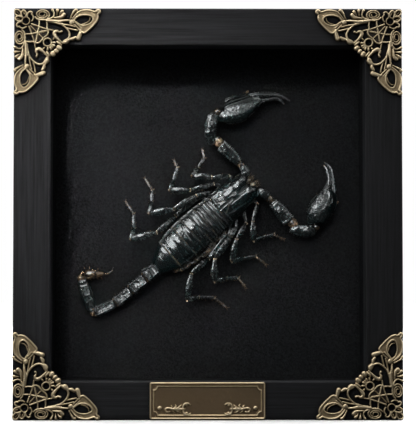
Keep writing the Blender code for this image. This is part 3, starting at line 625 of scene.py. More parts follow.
# Strokes of one corner, in mm from the frame's corner along its two rails: closed, points, radii.
# Every stroke has its mirror image across the diagonal.
CORNER_STROKES = [
    (False, [(4.14, 4.24), (3.71, 2.49), (4.08, 1.18), (4.89, .81), (5.64, 1.37), (6.2, 2.43), (5.95, 3.74)],
     .36),
    (False, [(4.89, 1.74), (5.2, 2.74)], .25),
    (False, [(6.51, 3.74), (6.82, 2.43), (7.44, 1.68), (8.22, 1.43), (8.94, 1.93), (8.75, 2.74)], .36),
    (False, [(8.75, 2.74), (9.44, 3.55), (9.56, 4.86), (8.88, 6.11)], .34),
    (False, [(10.5, 4.14), (11.43, 4.98), (13.05, 5.48), (14.92, 5.54), (16.79, 5.23), (18.66, 4.49),
                            (19.59, 3.49), (19.66, 2.18), (19.09, 1.06), (18.91, .6)],
     [.34, .36, .38, .4, .4, .38, .36, .36, .45, .55]),
    (False, [(21.06, 3.3), (21.21, 1.96), (21.31, .72)], [.25, .38, .6]),
    (False, [(22.3, 3.12), (22.86, 2.06), (23.64, 1.31)], [.25, .4, .65]),
    (False, [(19.78, 4.55), (21.77, 4.36), (23.52, 3.99), (24.45, 2.99)], [.35, .5, .72, .85]),
    (False, [(16.17, 5.92), (18.66, 6.04), (22.09, 6.29), (24.27, 5.92), (27.13, 5.76)],
     [.5, .6, .72, .5, .36]),
    (False, [(17.41, 6.54), (20.22, 6.92), (22.4, 7.48), (24.89, 7.79), (27.38, 8.22), (29.72, 8.85)],
     [.35, .38, .42, .36, .34, .34]),
    (False, [(27.69, 4.67), (28.63, 2.74), (29.81, .95), (30.4, .75)], [.3, .38, .6, .66]),
    (False, [(28.69, 4.86), (30.5, 2.68), (32.05, 1.4), (34.23, .78), (37.04, .78), (38.91, 1.4),
                         (39.9, 1.56), (40.93, .78), (41.7, .9), (41.9, 1.68), (40.96, 2.74), (41.09, 4.14),
                         (40.59, 5.92), (38.91, 8.04), (36.73, 10.22), (34.61, 11.84), (33.3, 11.46),
                         (32.43, 10.34)],
     [.32, .4, .4, .4, .4, .4, .45, .6, .6, .55, .42, .42, .42, .42, .42, .42, .42, .42]),
    (True, [(29.56, 5.92), (30.5, 4.42), (32.05, 3.49), (34.23, 3.05), (36.79, 3.3), (38.41, 4.17),
                        (38.78, 5.36), (37.78, 6.92), (35.85, 7.97), (33.61, 8.22), (31.99, 7.66),
                        (30.68, 6.73)], .36),
    (False, [(37.22, 4.49), (36.98, 5.67), (35.79, 6.79), (33.3, 7.66)], .26),
    (False, [(30.06, 6.73), (31.49, 8.1), (32.86, 9.35)], .34),
    (False, [(29.81, 7.91), (31.12, 9.35), (32.24, 10.47)], .34),
    (False, [(23.08, 7.73), (24.89, 8.85), (26.45, 10.53), (27.32, 12.4), (27.07, 14.2), (26.13, 15.2),
                     (24.95, 15.76)], [.34, .38, .42, .45, .48, .5, .5]),
    (False, [(26.01, 9.47), (28.63, 10.22), (31.06, 10.72)], [.3, .36, .34]),
    (False, [(21.28, 10.96), (20.28, 11.28), (19.84, 12.27), (20.4, 13.52), (21.52, 14.83), (22.9, 16.14),
                      (23.83, 16.95)], [.5, .72, .8, .72, .55, .42, .36]),
    (False, [(21.28, 10.96), (22.3, 11.6), (23.4, 11.21)], [.5, .38, .5]),
    (False, [(24.76, 16.32), (25.64, 16.2), (26.63, 15.39)], [.8, 1.0, .75]),
    (False, [(27.88, 14.95), (28.94, 14.83), (30.06, 14.08)], [.55, .72, .55]),
    (False, [(32.74, 10.84), (32.3, 12.58), (31.62, 14.58)], [.5, .8, .95]),
    (False, [(8.75, 7.48), (12.43, 8.82), (16.17, 10.06), (19.28, 10.59)], [.36, .34, .34, .3]),
    (False, [(12.49, 5.61), (12.43, 8.04), (11.68, 11.93), (10.68, 16.45)], [.34, .34, .34, .3]),
    (False, [(16.1, 6.17), (16.35, 8.04), (16.23, 9.35), (16.91, 11.21), (16.42, 12.83), (14.8, 14.2)],
     .36),
    (False, [(11.65, 11.93), (15.86, 11.15)], [.34, .3]),
    (False, [(19.3, 16.67), (20.2, 16.67)], [.4, .42]),
    (False, [(19.2, 15.0), (19.6, 14.6)], [.34, .4]),
    (False, [(18.9, 17.8), (19.8, 18.25)], [.38, .48]),
    (False, [(21.21, 16.2), (22.27, 17.01), (23.21, 17.82)], [.4, .5, .36]),
    (False, [(21.9, 19.0), (22.5, 19.35)], [.95, .95]),
    (False, [(28.35, 6.6), (28.45, 6.65)], [1.05, 1.05]),
    (False, [(.75, .75), (1.62, .5), (2.68, .87), (3.4, 1.96), (3.6, 3.6)], [.4, .34, .34, .34, .34]),
]
# Strokes on the diagonal itself
CORNER_AXIS_STROKES = [
    ([(1.53, 1.53), (2.83, 2.83)], .26),
    ([(8.38, 8.5), (11.65, 11.93), (14.45, 14.58)], .36),
    ([(20.6, 20.6), (21.0, 21.0)], 1.05),
    ([(18.3, 18.3), (19.2, 19.2)], .42),
]
STROKE_STOUTNESS = 1.3
CORNER_SIDE, CORNER_CELL = 42.8, 0.22
SCROLL_CENTRE = (13.99, 2.9)
SCROLL_TURNS = 2.15
FLOWER_RING = (5.95, 1.87, 0.36)
SHELL_RING = (16.5, 1.95, 0.46)
LEAF_FILL = [(29.0, 5.2), (30.5, 2.68), (32.05, 1.4), (34.23, .78), (37.04, .78), (38.91, 1.4), (40.96, 2.74),
             (41.09, 4.14), (40.59, 5.92), (38.91, 8.04), (36.73, 10.22), (34.61, 11.84), (33.3, 11.46),
             (32.3, 9.6),
             (30.0, 7.0)]
LEAF_HOLE = [(29.56, 5.92), (30.5, 4.42), (32.05, 3.49), (34.23, 3.05), (36.79, 3.3), (38.41, 4.17),
             (38.78, 5.36), (37.78, 6.92), (35.85, 7.97), (33.61, 8.22), (31.99, 7.66), (30.68, 6.73)]
FAN_FILL = [(21.0, 4.2), (23.0, 3.4), (24.2, 2.2), (25.2, 2.9), (25.0, 3.9), (23.6, 4.6)]
LATTICE_WEB = [(8.9, 7.6), (12.4, 8.9), (16.2, 10.1), (16.9, 11.4), (16.3, 12.9), (14.6, 14.4), (12.9, 16.3),
               (11.4, 16.9), (10.1, 16.2), (8.9, 12.4), (7.6, 8.9)]


def corner_relief():
    relief = Relief(CORNER_SIDE, CORNER_SIDE, CORNER_CELL)
    strokes = [(points, radii, closed) for closed, points, radii in CORNER_STROKES]
    turns = np.linspace(0, SCROLL_TURNS, 60)
    angle = 0.75 - turns * math.tau
    scroll = np.column_stack([
        SCROLL_CENTRE[0] + (3.55 - 1.18 * turns) * np.cos(angle),
        SCROLL_CENTRE[1] + (2.45 - 0.82 * turns) * np.sin(angle),
    ])
    strokes.append((scroll, np.linspace(0.34, 0.26, 60), False))
    for points, radii, closed in strokes:
        points, radii = np.asarray(points, float), np.asarray(radii, float) * STROKE_STOUTNESS
        relief.stroke(points, radii, closed)
        relief.stroke(points[:, ::-1], radii, closed)
    for points, radii in CORNER_AXIS_STROKES:
        relief.stroke(points, radii)
    for middle, radius, half in (FLOWER_RING, SHELL_RING):
        around = np.arange(24) * math.tau / 24
        ring = np.column_stack([middle + radius * np.cos(around), middle + radius * np.sin(around)])
        relief.stroke(ring, half, True)
    for outline, height, holes in (
        (LEAF_FILL, 0.86, [LEAF_HOLE]),
        (FAN_FILL, 0.6, []),
        (LATTICE_WEB, 0.36, []),
    ):
        relief.fill(outline, height, holes)
        relief.fill([(b, a) for a, b in outline], height, [[(b, a) for a, b in hole] for hole in holes])
    return relief


def make_corners(material):
    points, faces = corner_relief().mesh()
    for high_name, corner_z, up in (("top", FRAME_HIGH[2], -1), ("bottom", FRAME_LOW[2], 1)):
        for side_name, corner_x, right in (("left", FRAME_LOW[0], 1), ("right", FRAME_HIGH[0], -1)):
            lower = 0.5 * MM if high_name == "top" else 0.0
            placed = np.column_stack([
                corner_x + right * points[:, 0] * MM,
                METAL_BACK_Y - points[:, 2] * MM,
                corner_z + up * points[:, 1] * MM - lower,
            ])
            flip = right * up > 0
            turned = faces[:, ::-1] if not flip else faces
            name = f"corner_{high_name}_{side_name}"
            made = new_object(name + "_cast", placed, turned.tolist(), sharp_degrees=50)
            piece(made, material, "filigree", name)


# Left scroll of the nameplate in mm from the plate's middle: points and radii
SCROLL_STROKES = [
    ([(-18.3, -5.1), (-19.1, -5.5), (-20.2, -5.0), (-20.5, -4.0), (-19.7, -3.5), (-18.4, -3.6), (-16.9, -3.9),
      (-14.4, -3.8), (-11.9, -4.0)], [.22, .28, .3, .32, .32, .32, .36, .42, .3]),
    ([(-16.5, -4.0), (-13.5, -4.0)], [.5, .62]),
    ([(-17.7, -3.8), (-17.2, -2.8), (-17.8, -2.1)], [.26, .24, .14]),
    ([(-16.0, -3.6), (-15.3, -2.5), (-15.8, -1.6)], [.3, .26, .14]),
    ([(-14.4, -3.4), (-13.4, -2.6), (-12.7, -2.0)], [.3, .26, .16]),
    ([(-17.3, -4.1), (-16.6, -5.2), (-15.7, -5.8)], [.26, .24, .14]),
    ([(-15.4, -4.2), (-14.4, -5.2), (-13.3, -5.6)], [.3, .26, .16]),
    ([(-8.4, -1.9), (-9.6, -1.2), (-11.1, -1.5), (-11.8, -2.7), (-11.9, -4.0), (-11.7, -5.4), (-11.0, -6.4),
      (-9.6, -6.7), (-8.3, -6.0)], [.22, .3, .36, .38, .4, .38, .36, .3, .22]),
    ([(-10.3, -1.95), (-10.2, -2.0)], [.46, .46]),
    ([(-10.2, -5.9), (-10.1, -5.9)], [.46, .46]),
    ([(-11.6, -3.9), (-10.9, -3.95)], [.36, .2]),
]
PLATE_RADIUS, PLATE_RIM, LINE_INSET, LINE_HALF, NOTCH = 1.1, 0.5, 2.0, 0.4, 1.9
DOT_X, DOT_DROP, DOT_RADIUS = 23.2, 3.5, 0.95
PLATE_CELL, SCROLL_STOUTNESS = 0.24, 1.45


def make_nameplate(material):
    """Rim, notched line, two dots and two scrolls round a bare field."""
    width, height = (PLATE_HIGH.x - PLATE_LOW.x) / MM, (PLATE_HIGH.z - PLATE_LOW.z) / MM
    relief = Relief(width, height, PLATE_CELL)
    u, v = relief.grid_u - width / 2, relief.grid_v - height / 2
    corner_u, corner_v = np.abs(u) - (width / 2 - PLATE_RADIUS), np.abs(v) - (height / 2 - PLATE_RADIUS)
    outside = np.hypot(np.maximum(corner_u, 0), np.maximum(corner_v, 0))
    relief.outline = outside + np.minimum(np.maximum(corner_u, corner_v), 0) - PLATE_RADIUS
    edge = -relief.outline
    places = np.stack([u, v, np.zeros_like(u)], -1)
    hammered = 0.035 * field(places, 1.6, 5, 3)
    relief.top = 0.58 + hammered
    rim = np.sqrt(np.clip(1 - ((edge - PLATE_RIM) / PLATE_RIM) ** 2, 0, 1))
    rim = np.where(edge < 2 * PLATE_RIM, 0.66 + 0.5 * rim, 0)
    relief.top = np.maximum(relief.top, rim)
    half_u, half_v = width / 2 - LINE_INSET, height / 2 - LINE_INSET
    line = np.maximum(np.abs(u) - half_u, np.abs(v) - half_v)
    notch = NOTCH - np.hypot(np.abs(u) - half_u, np.abs(v) - half_v)
    line = np.maximum(line, notch)
    crest = np.sqrt(np.clip(1 - (line / LINE_HALF) ** 2, 0, 1))
    relief.top = np.maximum(relief.top, np.where(np.abs(line) < LINE_HALF, 0.7 + 0.4 * crest, 0))
    kept = relief.outline.copy()
    for side in (-1, 1):
        relief.stroke(
            [
                (width / 2 + side * DOT_X, height / 2 - DOT_DROP),
                (width / 2 + side * DOT_X + .01, height / 2 - DOT_DROP)
            ],
            DOT_RADIUS * 1.15, base=0.6, crown=0.66,
        )
        for points, radii in SCROLL_STROKES:
            placed = [(width / 2 - side * x, height / 2 + z) for x, z in points]
            relief.stroke(placed, [radius * SCROLL_STOUTNESS for radius in radii], base=0.66, crown=0.6)
    relief.outline = kept
    points, faces = relief.mesh()
    placed = np.column_stack([
        PLATE_LOW.x + points[:, 0] * MM,
        METAL_BACK_Y - points[:, 2] * MM,
        PLATE_LOW.z + points[:, 1] * MM,
    ])
    made = new_object("nameplate_cast", placed, faces.tolist(), sharp_degrees=50)
    piece(made, material, "plate", "nameplate")


# The scorpion
CARAPACE = [
    (1.0, 0.6, 5.5, 9.2, 4.3), (3, 0.5, 5.6, 9.6, 4.8), (8, 0.4, 5.7, 9.3, 4.9), (15, 0.3, 5.7, 8.6, 4.6),
    (20.4, 0.1, 5.8, 8.2, 4.1), (22.6, 0, 5.9, 7.6, 3.2), (23.9, 0, 6.0, 6.3, 1.6),
]
PLATE_EDGES = [1.4, -1.8, -4.6, -8.2, -12.0, -16.6, -22.4, -32.0]
ABDOMEN = [
    (1.4, 0.6, 5.5, 9.0, 4.3), (-8.0, 0.9, 5.6, 9.8, 4.7), (-16.0, 0.9, 5.6, 10.0, 4.9),
    (-24.0, 0.8, 5.5, 9.8, 4.7),
    (-32.0, 0.5, 5.2, 8.6, 4.2), (-38.0, 0.1, 4.6, 5.9, 3.4), (-40.8, -0.2, 4.4, 4.0, 2.7),
]
TAIL = [
    ((-40.6, -0.3), (-48.9, 0.2), 3.8, 4.4), ((-48.9, 0.0), (-58.2, 0.4), 3.4, 4.3),
    ((-58.2, 0.3), (-68.5, 0.7), 3.1, 4.2), ((-68.4, 0.7), (-79.6, 4.2), 2.85, 4.1),
]
TAIL_END = ((-80.0, 4.4), (-72.9, 21.2), 2.9, 4.0)
TELSON = [
    (-72.7, 22.6, 3.9, 0.9, 0.9), (-71.5, 22.3, 3.9, 1.5, 1.4), (-69.8, 21.2, 3.8, 2.3, 2.2),
    (-67.6, 19.5, 3.8, 2.6, 2.45), (-65.4, 17.6, 3.8, 2.1, 2.0), (-64, 16.4, 3.8, 1.3, 1.3),
    (-62.6, 15.2, 3.8, 0.85, 0.85), (-61, 14.2, 3.7, 0.62, 0.62), (-59.4, 13.9, 3.6, 0.48, 0.48),
    (-58, 14.3, 3.5, 0.32, 0.32), (-56.8, 15, 3.4, 0.12, 0.12),
]
ARMS = {
    "left": {
        "trochanter": [(21.6, 3.4, 5.0, 1.6, 1.6), (24.3, 5.8, 5.2, 2.2, 2.0), (25.3, 9.6, 5.3, 2.0, 1.9)],
        "knuckle": [(25.2, 8.6, 5.3, 1.5, 1.5), (25.3, 11.6, 5.2, 1.7, 1.6)],
        "femur": [(25.4, 11.2, 5.1, 2.3, 2.1), (25.1, 17.4, 5.0, 3.3, 2.3), (24.4, 24.8, 4.9, 3.4, 2.2)],
        "elbow": [(24.3, 24.0, 4.9, 2.0, 2.0), (24.7, 26.6, 4.8, 2.2, 2.1), (24.6, 29.4, 4.8, 1.7, 1.8)],
        "patella": [(22.6, 26.8, 4.8, 1.9, 1.9), (23.0, 29.6, 4.8, 2.6, 2.4), (25.6, 33.6, 4.8, 3.2, 2.9),
                    (29.6, 36.8, 4.8, 3.1, 2.8), (33.4, 38.4, 4.8, 2.2, 2.0)],
        "wrist": [(32.8, 38.0, 4.8, 1.7, 1.6), (36.0, 37.8, 4.9, 1.9, 1.6)],
    },
    "right": {
        "trochanter": [
            (21.4, -4.4, 5.0, 1.6, 1.6), (23.8, -7.4, 5.2, 2.2, 2.0), (24.5, -11.6, 5.3, 2.2, 2.0)
        ],
        "knuckle": [(24.5, -11.0, 5.3, 1.7, 1.6), (24.5, -14.2, 5.2, 1.8, 1.7)],
        "femur": [(24.6, -13.8, 5.1, 2.5, 2.2), (24.6, -20.2, 5.0, 3.6, 2.5), (24.3, -28.0, 4.9, 3.7, 2.3)],
        "elbow": [(24.3, -27.0, 4.9, 2.2, 2.0), (25.0, -29.6, 4.8, 2.3, 2.2), (24.4, -31.8, 4.8, 1.6, 1.8)],
        "patella": [(22.4, -29.8, 4.8, 1.9, 1.9), (23.6, -33.0, 4.8, 2.7, 2.5), (26.2, -35.8, 4.8, 3.3, 2.8),
                    (29.4, -38.2, 4.8, 2.9, 2.5), (31.8, -39.6, 4.8, 2.0, 1.9)],
        "wrist": [(31.2, -39.2, 4.8, 1.6, 1.5), (33.6, -38.0, 4.9, 1.8, 1.6)],
    },
}
CLAWS = {
    "left": ((37.1, 35.9), -30.4, [
        (-1.5, 1.2, 5.0, 2.6, 1.6), (-0.2, -0.4, 5.2, 5.2, 2.9), (1.6, -0.7, 5.4, 6.0, 3.7),
        (4.2, -0.3, 5.4, 6.8, 4.3),
        (7.6, 0.1, 5.4, 7.0, 4.4), (11, 1.1, 5.3, 6.1, 4.0), (14, 1.9, 5.1, 5.2, 3.3),
        (17, 2.2, 4.8, 3.7, 2.4),
        (19.6, 1.8, 4.5, 1.8, 1.7), (23, 1.8, 4.0, 1.05, 1.15), (26.8, 1.5, 3.6, 0.8, 0.9),
        (29.2, 0.2, 3.4, 0.6, 0.7),
        (30.8, -2.2, 3.2, 0.25, 0.3),
    ], [
        (13.6, 5.7, 5.2, 1.2, 1.2), (17.6, 5.3, 5.1, 1.5, 1.6), (21.8, 4.5, 4.7, 1.1, 1.3),
        (28, 3.3, 4.1, 0.85, 1.0),
        (31.6, 1.1, 3.8, 0.7, 0.75), (33.8, -1.0, 3.6, 0.2, 0.25),
    ]),
    "right": ((33.9, -36.2), 23.8, [
        (-0.9, -0.8, 5.0, 2.6, 1.6), (0.4, 0, 5.2, 4.6, 2.9), (2.2, 0, 5.4, 5.4, 3.7),
        (4.4, 0.1, 5.4, 6.2, 4.2),
        (7.4, -0.2, 5.4, 6.4, 4.4), (10.6, -0.6, 5.3, 6.1, 4.1), (14, -0.5, 5.1, 5.0, 3.4),
        (17, 0.5, 4.8, 3.1, 2.4),
        (19.4, 1.1, 4.5, 1.5, 1.6), (22, 1.9, 4.1, 0.9, 1.1), (24.6, 3.4, 3.8, 0.75, 0.9),
        (26.8, 5.4, 3.5, 0.6, 0.7),
        (28.2, 7.6, 3.3, 0.25, 0.3),
    ], [
        (13.8, -4.5, 5.2, 1.2, 1.2), (17.6, -2.6, 5.1, 1.35, 1.5), (20.6, -0.9, 4.8, 1.05, 1.25),
        (23.4, 0.6, 4.5, 0.9, 1.1), (26.8, 2.9, 4.1, 0.8, 0.95), (28.8, 5.2, 3.8, 0.6, 0.7),
        (29.6, 7.9, 3.6, 0.2, 0.25),
    ]),
}
LEGS = {
    "leg_left_1": [(17.6, 4.6, 3.6), (17.3, 10.1, 4.6), (9.9, 15.2, 8.0), (3.1, 22.3, 7.2), (8.5, 23.6, 3.6),
                   (14.1, 25.3, 2.0), (16.3, 29.3, 0.9)],
    "leg_left_2": [(12.4, 4.6, 3.4), (8.8, 12.2, 4.8), (-2.5, 17.6, 8.6), (-10.2, 24.4, 7.4),
                   (-5.5, 27.0, 3.7), (0.8, 30.9, 2.0), (1.9, 34.9, 0.9)],
    "leg_left_3": [(8.0, 5.0, 3.4), (-1.8, 13.6, 5.8), (-15.0, 16.0, 8.8), (-25.7, 22.8, 7.4),
                   (-20.7, 26.5, 3.8), (-16.4, 30.8, 2.0), (-15.3, 37.8, 0.9)],
    "leg_left_4": [(4.0, 5.0, 2.6), (-16.6, 13.1, 3.6), (-29.2, 12.9, 8.4), (-41.2, 19.2, 7.2),
                   (-36.3, 22.4, 3.8), (-31.6, 28.2, 2.0), (-30.4, 35.5, 0.9)],
    "leg_right_1": [(17.8, -4.6, 3.6), (18.4, -10.0, 4.6), (10.4, -15.2, 8.0), (4.2, -22.6, 7.2),
                    (9.2, -24.6, 3.6), (14.3, -27.2, 2.0), (16.4, -32.1, 0.9)],
    "leg_right_2": [(12.4, -4.6, 3.4), (7.6, -13.6, 4.8), (-1.6, -16.3, 8.4), (-10.9, -23.0, 7.4),
                    (-5.2, -25.9, 3.7), (0.0, -29.2, 2.0), (1.0, -35.8, 0.9)],
    "leg_right_3": [(8.0, -5.0, 3.4), (-2.6, -13.3, 5.8), (-16.4, -16.4, 8.8), (-24.2, -24.7, 7.4),
                    (-18.4, -27.5, 3.8), (-13.8, -31.5, 2.0), (-14.4, -37.8, 0.9)],
    "leg_right_4": [(4.0, -5.0, 2.6), (-18.6, -14.2, 3.8), (-30.2, -14.0, 8.4), (-40.7, -22.4, 7.2),
                    (-35.2, -25.2, 3.8), (-29.6, -31.0, 2.0), (-28.3, -38.6, 0.9)],
}
HIND_HIPS = {
    "leg_left_3": (3.4, 11.2, 4.4), "leg_left_4": (-2.0, 12.2, 2.4),
    "leg_right_3": (2.6, -11.6, 4.4), "leg_right_4": (-2.0, -11.4, 2.2),
}
chance = np.random.default_rng(11)


def top_side(tube):
    return np.clip(np.sin(tube.angle), 0, 1)


def crumple(points, size=1.0, stretch=(1.0, 1.0, 1.0), seed=3):
    """Dried cuticle: broad dents and a few sharp creases, in mm."""
    stretched = points * np.array(stretch)
    warp = field(stretched, 5.0, seed + 9, 2)[..., None] * 1.2
    creases = ridges(stretched + warp, 4.6, seed, 1)
    dents = field(stretched, 4.4, seed + 20, 2, 0.35)
    wrinkles = ridges(stretched + warp, 1.9, seed + 60, 1)
    return size * (0.28 * dents + 0.42 * (creases**3) - 0.15 * (wrinkles**3))


def make_carapace():
    shape = Shape()
    tube = Tube(spline(CARAPACE, 190), 168, 1.95, 0.02, 0.05)
    along, across = tube.points[:, :, 0], tube.points[:, :, 1] - 0.25
    up = top_side(tube)
    front = ramp(along, 8.0, 19.0)
    lobes = 0.95 * bell(np.abs(across) - 3.9, 2.4) * front
    groove = -1.15 * bell(across, 0.7) * ramp(along, 13.0, 16.5)
    groove = groove - 0.45 * bell(across, 0.4) * ramp(-along, -11.6, -8.0)
    stem = np.clip((9.0 - along) / 6.6, 0, 1)
    suture = bell(np.abs(across) - 4.0 * stem, 0.22) * ramp(-along, -9.2, -8.4) * ramp(along, 2.2, 2.8)
    rear_furrow = bell(along - 3.0, 0.35)
    side_furrow = bell(np.abs(across) - (5.4 + 0.12 * (along - 10)), 0.45) * bell(along - 10.5, 4.0)
    hump = 0.9 * bell(along - 12.4, 1.5) * bell(across, 1.15)
    relief = lobes + groove - 0.22 * suture - 0.20 * rear_furrow - 0.3 * side_furrow + hump
    tube.push(relief * up + crumple(tube.points, 0.85, (0.85, 1.2, 1.0), 3) * (0.35 + 0.65 * up))
    pull = ramp(along, 19.0, 23.7) * (
        2.9 * bell(across, 1.7) + 0.028 * np.clip(np.abs(across) - 3.2, 0, 9) ** 2
    )
    tube.points[:, :, 0] -= pull
    dusty = 0.75 * bell(np.abs(across) - 3.4, 2.4) * ramp(along, 17.5, 21.5) * ramp(
        field(tube.points, 2.2, 8), -0.3, 0.5
    )
    tube.paint(
        tan=np.clip(
            (0.38 * suture + 0.3 * bell(along - 1.5, 0.25)) * up
            * ramp(field(tube.points, 1.3, 77), -0.2, 0.5), 0, 1
        ),
        dust_and_painted_sheen=0.16 * dusty * up,
    ).into(shape)
    for side in (-1, 1):
        bead(shape, (12.7, 0.3 + side * 0.78, 11.05), (0.45, 0.4, 0.4))
        for step in range(3):
            bead(
                shape, (20.4 - 0.75 * step, side * (6.9 + 0.16 * step) + 0.1, 8.0), (0.32, 0.28, 0.28),
                (0.3, 0.2, 0)
            )
    for _ in range(26):
        side = chance.choice((-1, 1))
        spot = np.array(
            [22.9 - chance.uniform(0, 0.6), side * chance.uniform(1.8, 6.4), chance.uniform(5.0, 7.0)]
        )
        tip = spot + np.array(
            [chance.uniform(0.8, 2.0), side * chance.uniform(-0.3, 0.9), chance.uniform(-0.2, 0.9)]
        )
        bristle(shape, spot, tip, 0.075)
    return shape


def abdomen_rows():
    """Section rows with a step at each plate's rear edge, and for each row its plate and place within it."""
    rows = np.array(ABDOMEN)[::-1]
    places, shrink, plates, shares = [], [], [], []
    for plate, (front, rear) in enumerate(zip(PLATE_EDGES, PLATE_EDGES[1:])):
        count = max(int((front - rear) / 0.2), 14)
        share = np.linspace(0, 1, count)
        places.append(front + 0.35 - (front + 0.35 - rear) * share)
        shrink.append(0.952 + 0.048 * ramp(share, 0.0, 0.30) + 0.006 * bell(share - 0.95, 0.05))
        plates.append(np.full(count, plate))
        shares.append(share)
    count = 52
    share = np.linspace(0, 1, count)
    places.append(PLATE_EDGES[-1] + 0.35 - (PLATE_EDGES[-1] + 0.35 + 40.8) * share)
    shrink.append(0.945 + 0.04 * ramp(share, 0, 0.2))
    plates.append(np.full(count, 7))
    shares.append(share)
    places, shrink = np.concatenate(places), np.concatenate(shrink)
    sections = np.column_stack([np.interp(places, rows[:, 0], rows[:, k]) for k in range(5)])
    sections[:, 0] = places
    for column in (3, 4):
        kernel = np.array([1, 4, 6, 4, 1]) / 16
        padded = np.pad(sections[:, column], 2, mode="edge")
        sections[:, column] = np.convolve(padded, kernel, "valid") * shrink
    return sections, np.concatenate(plates)[:, None], np.concatenate(shares)[:, None]


def make_abdomen():
    shape = Shape()
    rows, plate, share = abdomen_rows()
    tube = Tube(rows, 176, 1.68)
    middle = rows[:, :3]
    tube.points[:, :, 0] = middle[:, None, 0]
    up = top_side(tube)
    # the sections stay square to the body, so the plates' rear edges overlap without folding
    across = tube.points[:, :, 1] - rows[:, 1][:, None]
    half = rows[:, 3][:, None]
    flank = np.abs(across) / half
    last = (plate == 6).astype(float)
    tail_cone = (plate == 7).astype(float)
    edge = bell(share - 0.97, 0.03) * (1 - tail_cone)
    roll = bell(flank - 0.93, 0.035) - 0.9 * bell(flank - 0.86, 0.035)
    folds = crumple(tube.points, 0.85, (1.7, 0.55, 1.0), 14)
    bulge = 0.25 * np.sin(np.clip(share, 0, 1) * math.pi) * (0.6 + last)
    length = np.array(PLATE_EDGES)[:-1] - np.array(PLATE_EDGES)[1:]
    length = np.append(length, 8.8)[plate]
    behind = (1 - share) * length
    gap = bell(behind - 0.18, 0.30) * (1 - tail_cone)
    rim = bell(behind - 0.85, 0.26) * (1 - tail_cone)
    wave = np.sin(share * math.tau * 2 + 0.5 * field(tube.points, 6.0, 44, 1))
    lines = (0.10 * wave * (1 - last) + 0.08 * last * wave) * (1 - tail_cone) + 0.16 * rim - 0.5 * gap
    calm = 1 - 0.75 * tail_cone
    push = folds * calm * (0.3 + 0.7 * up) + 0.05 * edge + bulge * up + lines * ramp(up, 0.0, 0.35)
    push = push + np.where(across > 0, 0.32, 0.12) * roll * (1 - tail_cone) * ramp(
        np.sin(tube.angle), 0.0, 0.25
    )
    tube.push(push)
    tube.points[:, :, 2] -= 0.05 * across * up
    margin = bell(behind - 0.62, 0.20) * (1 - tail_cone)
    patchy = ramp(field(tube.points, 1.6, 33), -0.25, 0.45)
    front_line = tail_cone * bell(share - 0.05, 0.03)
    rearmost = ramp(plate.astype(float), 2.0, 5.0)
    tube.paint(
        tan=np.clip((0.3 + 0.5 * rearmost) * margin * patchy + 0.35 * front_line * patchy, 0, 1)
        * ramp(up, 0.0, 0.2)
    )
    tube.paint(dust_and_painted_sheen=0.06 * ramp(field(tube.points, 2.6, 71), 0.0, 0.6) * up * (1 - tail_cone))
    tube.into(shape)
    make_combs(shape)
    make_flank_folds(shape)
    return shape


def make_combs(shape):
    """The sensory comb that shows beside the abdomen's right edge, with its row of teeth."""
    spine = spline([(-6.5, -5.6, 2.2, 0.9, 0.6), (-9.6, -9.2, 2.4, 1.0, 0.7), (-14.6, -11.4, 2.4, 1.0, 0.7),
                    (-20.4, -11.7, 2.2, 0.6, 0.5)], 44)
    Tube(spine, 14, 2.0, 0.1, 0.1).paint(tan=0.25, dust_and_painted_sheen=0.3).into(shape)
    teeth = 15
    for tooth in range(teeth):
        share = 0.22 + 0.76 * tooth / (teeth - 1)
        row = spine[int(share * (len(spine) - 1))]
        root = np.array([row[0], row[1] + 0.2, 2.9])
        tip = root + np.array([-0.35, 2.5 - 0.9 * share, 0.7])
        rows = spline([(*root, 0.32, 0.3), (*((root + tip) / 2), 0.34, 0.32), (*tip, 0.24, 0.24)], 9)
        Tube(rows, 8, 2.0, 0.25, 0.4).paint(tan=0.5 if tooth % 2 else 0.15, dust_and_painted_sheen=0.45).into(shape)


def make_flank_folds(shape):
    """Dried membrane along the abdomen's right edge."""
    for seed, (start, end, across, height, radius) in enumerate([
        (-19.5, -27.5, -10.3, 3.1, 0.95), (-25.5, -33.5, -9.3, 3.0, 1.05), (-12.0, -20.5, -10.7, 3.4, 0.6),
        (-30.5, -36.5, -7.6, 2.8, 0.9), (-2.0, -11.5, -9.9, 3.0, 0.8),
    ]):
        middle = (start + end) / 2
        rows = spline([(start, across + 0.5, height, radius * 0.7, radius * 0.8),
                       (middle, across - 0.3, height, radius * 1.2, radius * 1.1),
                       (end, across + 0.6, height, radius * 0.6, radius * 0.7)], 46)
        tube = Tube(rows, 22, 2.0, 0.12, 0.12)
        wrinkles = ridges(tube.points * np.array([1.0, 0.7, 0.7]), 1.3, 60 + seed, 3)
        tube.push(0.55 * wrinkles - 0.2)
        patches = ramp(field(tube.points, 1.3, 66 + seed), -0.25, 0.35)
        tube.paint(tan=0.85 * ramp(wrinkles, 0.35, 0.85) * patches + 0.03).into(shape)


def limb_rows(start, end, widths, heights=None, count=26, bow=0.0):
    """Rows between two places with widths at even shares; bow lifts the middle off the board."""
    start, end = np.array(start, float), np.array(end, float)
    heights = widths if heights is None else heights
    shares = np.linspace(0, 1, len(widths))
    rows = []
    for share, width, height in zip(shares, widths, heights):
        spot = start + (end - start) * share
        spot[2] += bow * math.sin(share * math.pi)
        rows.append((*spot, width, height))
    return spline(rows, count)


# How far the upper face of each tail segment but the last leans to one side
TAIL_LEANS = (0.26, 0.26, 0.16, 0.14)


